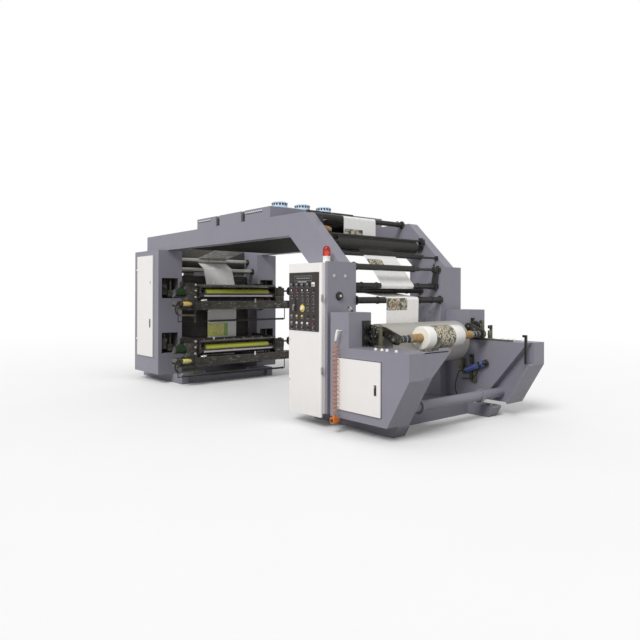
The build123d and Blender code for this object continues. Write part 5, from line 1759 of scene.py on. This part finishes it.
@dataclass(frozen=True)
class ControlCabinet:
    """Operating panel, locks and beacon of the control cabinet."""

    columns: tuple[float, ...] = (0.055, 0.16, 0.262, 0.364, 0.468)
    title: tuple[float, float, float, float] = (0.11, 0.44, 0.04, 0.1)
    beacon: Pair = (2.332, -1.18)
    hinge_heights: Pair = (1.507, 0.674)

    def build(self) -> None:
        """Dresses the cabinet."""
        low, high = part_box("control_panel")
        self.panel(low.x, low.y, high.z)
        self.locks()
        self.warning_beacon()

    def panel(self, left: float, face: float, top: float) -> None:
        """Makes the controls of the panel.

        Args:
            left: left edge of the panel.
            face: its front face along Y.
            top: its top edge.
        """
        groups = {part: Metal() for part in "black pale dial yellow red green grey glass".split()}
        rows = ((0.146, "MMMM-", "grey grey grey grey pale"), (0.212, "BBBBB", "pale red pale pale green"),
                (0.285, "KKKKK", ""), (0.345, "--KKK", ""), (0.425, "---KK", ""),
                (0.519, "LLLBB", "grey yellow yellow black black"),
                (0.6, "LLLLB", "grey pale pale pale red"), (0.65, "BBBBB", "black grey grey black grey"))
        for drop, kinds, colours in rows:
            for column, letter, colour in zip(self.columns, kinds, colours.split() or ["black"] * 5):
                kind = Control(letter)
                place = Vector((left + column, face, top - drop))
                self.control(groups, kind, colour, place)
                if kind is not Control.BLANK:
                    groups["grey"].box((place.x - 0.019, face - 0.0012, place.z - 0.03),
                                       (place.x + 0.019, face, place.z - 0.025))
        self.specials(groups, left, face, top)
        for part, metal in groups.items():
            look = Look.GEAR if part == "dial" else Look[part.upper()]
            metal.done(f"panel_{part}_controls", look, Body.CABINET_DOOR)

    def control(self, groups: dict[str, Metal], kind: Control, colour: str, place: Vector) -> None:
        """Adds one control.

        Args:
            groups: the pieces by colour.
            kind: what it is.
            colour: its colour.
            place: its middle on the panel's face.
        """
        out = -ACROSS
        x, y, z = place
        if kind is Control.METER:
            groups["black"].box((x - 0.027, y - 0.01, z - 0.022), (x + 0.027, y, z + 0.024), 0.003)
            groups["dial"].box((x - 0.018, y - 0.0112, z - 0.002), (x + 0.018, y - 0.0095, z + 0.016))
            groups["black"].box((x - 0.001, y - 0.012, z - 0.003), (x + 0.001, y - 0.011, z + 0.015))
            groups["grey"].rod((x, y - 0.01, z - 0.012), (x, y - 0.012, z - 0.012), 0.004, 0.0, 16)
        elif kind is Control.KNOB:
            groups["grey"].turned((x, y, z), out, [(0.0, 0.0165), (0.003, 0.0165), (0.004, 0.015)], 24)
            groups["black"].turned((x, y - 0.003, z), out,
                                   [(0.0, 0.013), (0.014, 0.0115), (0.016, 0.009), (0.016, 0.0)], 16)
            groups["pale"].box((x - 0.0012, y - 0.0195, z + 0.001), (x + 0.0012, y - 0.0185, z + 0.009))
        elif kind is Control.LAMP:
            groups["grey"].turned((x, y, z), out, [(0.0, 0.0175), (0.004, 0.0175), (0.006, 0.015)], 24)
            groups[colour].turned((x, y - 0.004, z), out,
                                  [(0.0, 0.0135), (0.008, 0.013), (0.012, 0.009), (0.014, 0.0)], 24)
        elif kind is Control.BUTTON:
            groups["black"].turned((x, y, z), out, [(0.0, 0.0145), (0.005, 0.0145), (0.006, 0.012)], 24)
            groups[colour].turned((x, y - 0.005, z), out,
                                  [(0.0, 0.0095), (0.005, 0.0095), (0.006, 0.008), (0.006, 0.0)], 20)

    def specials(self, groups: dict[str, Metal], left: float, face: float, top: float) -> None:
        """Adds the title strip, counter, slot handle and big knob.

        Args:
            groups: the pieces by colour.
            left: left edge of the panel.
            face: its front face along Y.
            top: its top edge.
        """
        def block(colour: str, x: Pair, drop: Pair, out: Pair, bevel: float = 0.0) -> None:
            """One box of the panel, placed from its left edge, its top and its face."""
            groups[colour].box((left + x[0], face - out[0], top - drop[1]),
                               (left + x[1], face - out[1], top - drop[0]), bevel)

        x0, x1, z0, z1 = self.title
        rim = 0.0035
        block("grey", (x0, x1), (z0, z1), (0.0016, 0.0), 0.0006)
        block("black", (x0 + rim, x1 - rim), (z0 + rim, z1 - rim), (0.0022, 0.001))
        for step in range(9):
            x = x0 + 0.04 + step * 0.029
            block("grey", (x, x + 0.019), (0.063, 0.075), (0.0026, 0.002))
        block("pale", (0.44, 0.498), (0.118, 0.168), (0.01, 0.0), 0.003)
        block("grey", (0.446, 0.492), (0.14, 0.16), (0.0112, 0.0095))
        block("black", (0.088, 0.134), (0.305, 0.475), (0.008, 0.0), 0.004)
        block("grey", (0.104, 0.118), (0.385, 0.455), (0.03, 0.014), 0.004)
        block("black", (0.26, 0.264), (0.405, 0.425), (0.0235, 0.0215))
        block("glass", (0.18, 0.345), (0.106, 0.118), (0.004, 0.0), 0.001)
        for colour, x, out, drop, profile, sides in (
                ("grey", 0.111, 0.008, 0.39, [(0.0, 0.014), (0.01, 0.013), (0.012, 0.0)], 24),
                ("yellow", 0.262, 0.0, 0.425,
                 [(0.0, 0.044), (0.003, 0.044), (0.004, 0.04), (0.004, 0.0)], 32),
                ("pale", 0.262, 0.004, 0.425,
                 [(0.0, 0.026), (0.014, 0.024), (0.018, 0.019), (0.018, 0.0)], 8)):
            groups[colour].turned((left + x, face - out, top - drop), -ACROSS, profile, sides)

    def locks(self) -> None:
        """Quarter-turn locks at the opening edge of the door, and a cable gland below it."""
        low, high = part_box("cabinet_door")
        locks = Metal()
        for z in (0.52, 1.0):
            locks.turned((low.x + 0.038, low.y, z), -ACROSS,
                         [(0.0, 0.012), (0.002, 0.012), (0.003, 0.01), (0.003, 0.0)], 24)
            locks.box((low.x + 0.0365, low.y - 0.0042, z - 0.007),
                      (low.x + 0.0395, low.y - 0.0025, z + 0.007))
        locks.done("cabinet_locks", Look.BRIGHT, Body.CABINET_DOOR)
        barrels = Metal()
        for z in self.hinge_heights:
            barrels.rod((high.x - 0.009, low.y + 0.01, z - 0.036),
                        (high.x - 0.009, low.y + 0.01, z + 0.036), 0.0125, 0.003, 20)
            barrels.rod((high.x - 0.009, low.y + 0.01, z - 0.042),
                        (high.x - 0.009, low.y + 0.01, z + 0.042), 0.007, 0.002, 12)
        barrels.done("cabinet_hinge_barrels", Look.GREY)
        low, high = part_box("control_cabinet")
        glands = Metal()
        for step in range(3):
            x = low.x + 0.18 + 0.12 * step
            glands.rod((x, -1.16, low.z - 0.03), (x, -1.16, low.z), 0.017, 0.003, 8)
            glands.rod((x, -1.16, low.z - 0.008), (x, -1.16, low.z), 0.023, 0.002, 6)
        glands.done("cabinet_glands", Look.RUBBER)

    def warning_beacon(self) -> None:
        """White foot, clear red dome with ribs, and the lamp inside it."""
        x, y = self.beacon
        low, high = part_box("warning_beacon")
        foot = Metal().turned((x, y, low.z), UP, [(0.0, 0.045), (0.006, 0.0455), (0.009, 0.0435),
                                                  (0.066, 0.0435), (0.07, 0.0455), (0.078, 0.0455),
                                                  (0.08, 0.042)], 40)
        foot = foot.done("beacon_foot", Look.PALE)
        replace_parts(foot, "warning_beacon")
        height = high.z - low.z
        dome = Metal().turned((x, y, low.z), UP, [(0.072, 0.0445), (0.08, 0.0455), (height - 0.04, 0.0445),
                                                  (height - 0.018, 0.036), (height - 0.006, 0.02),
                                                  (height, 0.0)], 40)
        for lower, upper in zip(around(20, 0.0445), around(20, 0.0435)):
            dome.rod((x + lower[0], y + lower[1], low.z + 0.078),
                     (x + upper[0], y + upper[1], low.z + height - 0.042), 0.0016, 0.0, 6)
        dome.done("beacon_dome", Look.LENS)
        lamp = Metal().turned((x, y, low.z + 0.07), UP,
                              [(0.0, 0.012), (0.02, 0.013), (0.045, 0.019), (0.062, 0.016), (0.072, 0.008),
                               (0.075, 0.0)], 24)
        lamp.done("beacon_lamp", Look.LAMP)


@dataclass(frozen=True)
class Winder:
    """Fittings of the drum, the wound roll, its arms and the housings beside them."""

    drum: Pair = (2.695, 0.95)
    roll: Pair = ROLL_CENTRE
    pivot: Pair = (2.88, 1.13)
    housing_inner: float = 0.915
    arm_outer: float = 0.805
    cover_face: float = 1.278
    wound: Pair = (-0.385, 0.295)
    web_x: float = 3.658
    web: tuple[Pair, ...] = ((-1.027, 0.959), (-0.592, 0.975), (-0.597, 0.948), (-0.905, 0.694),
                             (-1.027, 0.694))
    wound_radius: float = 0.135

    def build(self) -> None:
        """Dresses the winder."""
        self.shaft()
        self.drum_ends()
        self.arms()
        self.housings()
        self.cylinder()
        self.rail()

    def shaft(self) -> None:
        """Core cones, black grips and steel collars on the winding shaft."""
        x, z = self.roll
        grips, collars = Metal(), Metal()
        for hand in (-1, 1):
            for start, end, radius, metal in ((0.562, 0.59, 0.046, collars), (0.59, 0.64, 0.036, grips),
                                              (0.64, 0.655, 0.042, collars), (0.668, 0.712, 0.039, grips),
                                              (0.712, 0.722, 0.043, collars), (0.735, 0.76, 0.036, grips)):
                metal.rod((x, hand * start, z), (x, hand * end, z), radius, 0.003, 28)
            collars.rod((x, hand * 0.8505, z), (x, hand * 0.856, z), 0.018, 0.002, 6)
        grips.done("shaft_grips", Look.BLACK, Body.ROLL)
        collars.done("shaft_collars", Look.STEEL, Body.ROLL)
        tube = Metal()
        for hand in (-1, 1):
            tube.rod((x, hand * 0.5595, z), (x, hand * 0.5625, z), 0.047, 0.0005, 32)
        for end, way in zip(self.wound, (-1, 1)):
            tube.rod((x, end + way * 0.0002, z), (x, end + way * 0.0022, z), 0.0535, 0.0005, 40)
        tube.done("core_edges", Look.CARD, Body.ROLL, slot=Look.WOUND.slot)
        start, end = self.wound
        rim = self.wound_radius
        profile = [(0.0, 0.05), (0.0, rim - 0.03), (0.0012, rim - 0.006), (0.004, rim - 0.0015),
                   (0.007, rim)]
        length = end - start
        profile += [(0.2 * length, rim), (0.4 * length, rim), (0.6 * length, rim), (0.8 * length, rim)]
        profile += [(length - distance, radius) for distance, radius in profile[4::-1]]
        roll = Metal().turned((x, start, z), ACROSS, profile, 96)
        roll = roll.done("wound_roll", Look.WOUND, Body.ROLL)
        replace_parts(roll, "film_roll")

    def drum_ends(self) -> None:
        """Flanges and bolts on the ends of the winding drum and the pull roller."""
        x, z = self.drum
        half = 0.715
        flange, bolts = Metal(), Metal()
        for hand in (-1, 1):
            way = ACROSS * hand
            flange.turned((x, hand * half, z), way, [(0.0, 0.238), (0.003, 0.24), (0.006, 0.236),
                                                     (0.006, 0.11), (0.02, 0.104), (0.03, 0.07),
                                                     (0.03, 0.039)], 48)
            for dx, dz in around(8, 0.088):
                bolts.turned((x + dx, hand * (half + 0.012), z + dz), way,
                             [(0.0, 0.011), (0.012, 0.011), (0.014, 0.009), (0.014, 0.0)], 6)
        flange.done("drum_flanges", Look.DRUM, Body.DRUM)
        bolts.done("drum_bolts", Look.BRIGHT, Body.DRUM)
        ends = Metal()
        for hand in (-1, 1):
            ends.turned((1.97, hand * 0.74, 2.205), ACROSS * hand,
                        [(0.0, 0.086), (0.006, 0.086), (0.008, 0.05), (0.022, 0.046), (0.022, 0.031)], 40)
        ends.done("pull_roller_ends", Look.DARK, Body.PULL)

    def arms(self) -> None:
        """Bearing caps, levers and hoses of the roll arms."""
        caps, levers, bolts = Metal(), Metal(), Metal()
        for hand in (-1, 1):
            way = ACROSS * hand
            outer = hand * (self.housing_inner + 0.024)
            caps.turned((self.pivot[0], outer, self.pivot[1]), way,
                        [(0.0, 0.072), (0.012, 0.072), (0.016, 0.066), (0.016, 0.04), (0.034, 0.036),
                         (0.038, 0.026), (0.038, 0.0)], 32)
            for dx, dz in around(6, 0.056):
                bolts.turned((self.pivot[0] + dx, outer + hand * 0.014, self.pivot[1] + dz), way,
                             [(0.0, 0.008), (0.007, 0.008), (0.008, 0.0)], 6)
            arm = hand * (self.arm_outer + 0.0005)
            caps.turned((self.roll[0], arm, self.roll[1]), way,
                        [(0.0, 0.058), (0.014, 0.058), (0.018, 0.052), (0.018, 0.0335)], 32)
            levers.box((2.965, outer, 0.96), (3.005, outer + hand * 0.026, 1.172), 0.005)
            levers.rod((2.985, outer + hand * 0.013, 1.165), (2.985, outer + hand * 0.013, 1.215), 0.012,
                       0.004)
            levers.box((2.93, outer, 0.959), (3.045, outer + hand * 0.06, 0.985), 0.004)
        caps.done("arm_bearing_caps", Look.DARK)
        levers.done("arm_lock_levers", Look.OLIVE)
        bolts.done("arm_cap_bolts", Look.BRIGHT)
        chucks = Metal()
        for z, radius in ((1.19, 0.05), (1.05, 0.044)):
            chucks.rod((2.802, -1.0, z), (2.838, -1.0, z), radius, 0.008, 28)
            chucks.rod((2.836, -1.0, z), (2.862, -1.0, z), radius * 0.55, 0.004, 20)
        chucks.box((2.801, -1.06, 0.975), (2.814, -0.935, 1.255), 0.004)
        chucks.tube([(2.85, -1.0, 1.19), (2.92, -1.01, 1.215), (2.95, -1.01, 1.12), (2.9, -1.0, 1.01),
                     (2.84, -1.0, 1.05)], 0.009)
        chucks.done("clutch_and_brake", Look.BLACK)

    def housings(self) -> None:
        """Nuts on the housings' tops, cover handles and the folded edges of their doors."""
        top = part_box("side_rail")[0].z
        nuts = Metal()
        for hand in (-1, 1):
            for x in (3.134, 3.226, 3.3, 3.431):
                nuts.turned((x, hand * 1.175, top), UP,
                            [(0.0, 0.021), (0.003, 0.021), (0.004, 0.015), (0.017, 0.015), (0.02, 0.011),
                             (0.024, 0.0)], 6)
        nuts.done("housing_top_nuts", Look.PALE, crease=25.0)
        web = Metal().plate([(self.web_x, y, z) for y, z in self.web], Vector((0.016, 0.0, 0.0)))
        web.box((self.web_x - 0.03, -1.02, 0.946), (self.web_x + 0.016, -0.64, 0.96), 0.002)
        web.done("operator_end_web", Look.FRAME)
        for name, hand in (("operator", -1), ("drive", 1)):
            low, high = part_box(f"{name}_housing_cover")
            face = hand * self.cover_face
            swing_handle(f"{name}_cover_handle", (high.x - 0.068, face, 0.55), 0.11, hand=hand)
            rim = Metal().rim(low, high, (hand * 1.2582, hand * 1.2606), 0.006)
            rim.done(f"{name}_cover_seal", Look.RUBBER)

    def cylinder(self) -> None:
        """End caps, rod, clevis and brass fittings of the air cylinder, with its black hoses."""
        start = Vector((2.745, 0.872, 0.536))
        end = Vector((3.105, 0.872, 0.683))
        way = (end - start).normalized()
        caps = Metal()
        for place, length in ((start, 0.045), (end - way * 0.045, 0.045)):
            caps.turned(place, way, [(0.0, 0.036), (0.004, 0.038), (length - 0.004, 0.038),
                                     (length, 0.036)], 28)
        caps.turned(start + way * 0.15, way, [(0.0, 0.0345), (0.01, 0.0345)], 28)
        caps.done("cylinder_caps", Look.DARK)
        tube = Metal().rod(start + way * 0.044, end - way * 0.044, 0.0415, 0.002, 32)
        for turn in (0.8, 2.4, 3.9, 5.5):
            side = way.cross(ACROSS) * math.sin(turn) + ACROSS * math.cos(turn)
            tube.rod(start + way * 0.044 + side * 0.0385, end - way * 0.044 + side * 0.0385, 0.0042, 0.0,
                     8)
        tube.done("cylinder_tube", Look.BLUE)
        fittings = Metal()
        for place in (start + way * 0.022, end - way * 0.022):
            above = place + Vector((0, -0.034, 0.01))
            fittings.rod(place, above + Vector((0, -0.012, 0)), 0.009, 0.002, 12)
            fittings.rod(above, above + Vector((0, -0.008, 0)), 0.013, 0.001, 6)
        fittings.done("cylinder_fittings", Look.BRASS)
        hoses = Metal()
        first = start + way * 0.022 + Vector((0, -0.044, 0.01))
        hoses.tube([first, (first.x - 0.05, first.y - 0.02, first.z - 0.02), (2.64, 0.85, 0.42),
                    (2.61, 0.86, 0.28), (2.64, 0.88, 0.2)], 0.006)
        last = end - way * 0.022 + Vector((0, -0.044, 0.01))
        hoses.tube([last, (last.x - 0.04, last.y - 0.02, last.z - 0.05), (2.96, 0.855, 0.5),
                    (2.8, 0.88, 0.44), (2.7, 0.895, 0.43)], 0.006)
        hoses.done("cylinder_hoses", Look.RUBBER)
        valve = Metal()
        valve.box((2.655, 0.868, 0.56), (2.735, 0.916, 0.7), 0.005)
        valve.rod((2.695, 0.88, 0.7), (2.695, 0.88, 0.735), 0.014, 0.003)
        valve.box((2.86, 0.885, 0.4), (2.93, 0.916, 0.56), 0.005)
        valve.done("air_valves", Look.OLIVE)

    def rail(self) -> None:
        """Black knobs, olive sleeves and bright edge of the drive-side rail."""
        knobs, sleeves = Metal(), Metal()
        for x, top in ((2.878, 1.211), (3.011, 1.149)):
            knobs.turned((x, 1.075, top - 0.045), UP, [(0.0, 0.022), (0.006, 0.028), (0.034, 0.028),
                                                       (0.042, 0.022), (0.0445, 0.0)], 20)
            sleeves.rod((x, 1.075, 0.974), (x, 1.075, top - 0.07), 0.0275, 0.003, 24)
            sleeves.rod((x, 1.075, 1.02), (x, 1.075, 1.034), 0.032, 0.002, 24)
        knobs.done("rail_knobs", Look.BLACK)
        sleeves.done("rail_sleeves", Look.OLIVE)
        edge = Metal().box((2.825, 0.942, 0.9792), (3.405, 0.972, 0.9825), 0.001)
        edge.done("rail_scale", Look.BRIGHT)


class CarriedNodes:
    """Gives every solid that stays in view its finish."""

    def build(self, nodes: dict[str, bpy.types.Object]) -> None:
        """Assigns the finishes to the material slots of the solids.

        Args:
            nodes: the solids by name.
        """
        groups = {
            Look.FRAME: ("print_base", "operator_print_frame", "drive_print_frame", "operator_beam",
                      "drive_beam", "drying_hood", "operator_wind_frame", "drive_wind_frame", "wind_base",
                      "operator_low_housing", "drive_low_housing", "tie_tube"),
            Look.WHITE: ("tower_door", "drive_tower_cover", "operator_housing_cover",
                      "drive_housing_cover", "control_cabinet", "cabinet_door"),
            Look.BLACK: ("roller_bracket", "hook_bracket", "front_wire_rods"),
            Look.UNDERSIDE_SHADE: ("bridge_floor",),
            Look.DARK: ("front_deck_cheeks", "rear_deck_cheeks", "front_ink_pans", "rear_ink_pans",
                     "roll_arms", "air_cylinder"),
            Look.BEAM: ("front_deck_drives",),
            Look.WORN: ("front_top_bars", "rear_top_bars"),
            Look.PLATE: ("plate_cylinders",),
            Look.ANILOX: ("anilox_rollers",),
            Look.STEEL: ("impression_rollers",),
            Look.LIGHT_ROLLER: ("tower_guide_rollers",),
            Look.ROLLER: ("bridge_guide_rollers", "wind_guide_rollers"),
            Look.RUBBER: ("pull_roller",),
            Look.INK: ("front_upper_ink_roller", "front_lower_ink_roller", "rear_upper_ink_roller",
                    "rear_lower_ink_roller"),
            Look.FILM: ("film_web",),
            Look.SHAFT: ("winding_shaft",),
            Look.DRUM: ("rewind_drum",),
            Look.PANEL: ("control_panel",),
            Look.FAN: ("hood_fans",),
            Look.GEAR: ("cabinet_gear",),
            Look.OLIVE: ("side_rail",),
            Look.AMBER: ("hose_outlet",),
        }
        for look, names in groups.items():
            for name in names:
                for slot in nodes[name].material_slots:
                    slot.material = look.material()
                LOG.info("%s: %s", name, look.name.lower())


def main() -> None:
    """Loads the solids, then builds and reports each assembly in order."""
    logging.basicConfig(level=logging.INFO, format="%(name)s %(message)s")
    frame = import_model()
    Studio().build()
    for look in Look:
        look.material()
    AirHose().build()
    CarriedNodes().build(frame["nodes"])
    PrintTower().build()
    for side in DeckSide:
        for level, height in DECK_HEIGHTS.items():
            PrintingDeck(side, level, height).build()
            LOG.info("%s %s deck dressed", side.name.lower(), level)
    RearEnds().build(frame["nodes"])
    RollerEnds().build()
    Bridge().build()
    WindingTower().build()
    ControlCabinet().build()
    Winder().build()


if __name__ == "__main__":
    main()
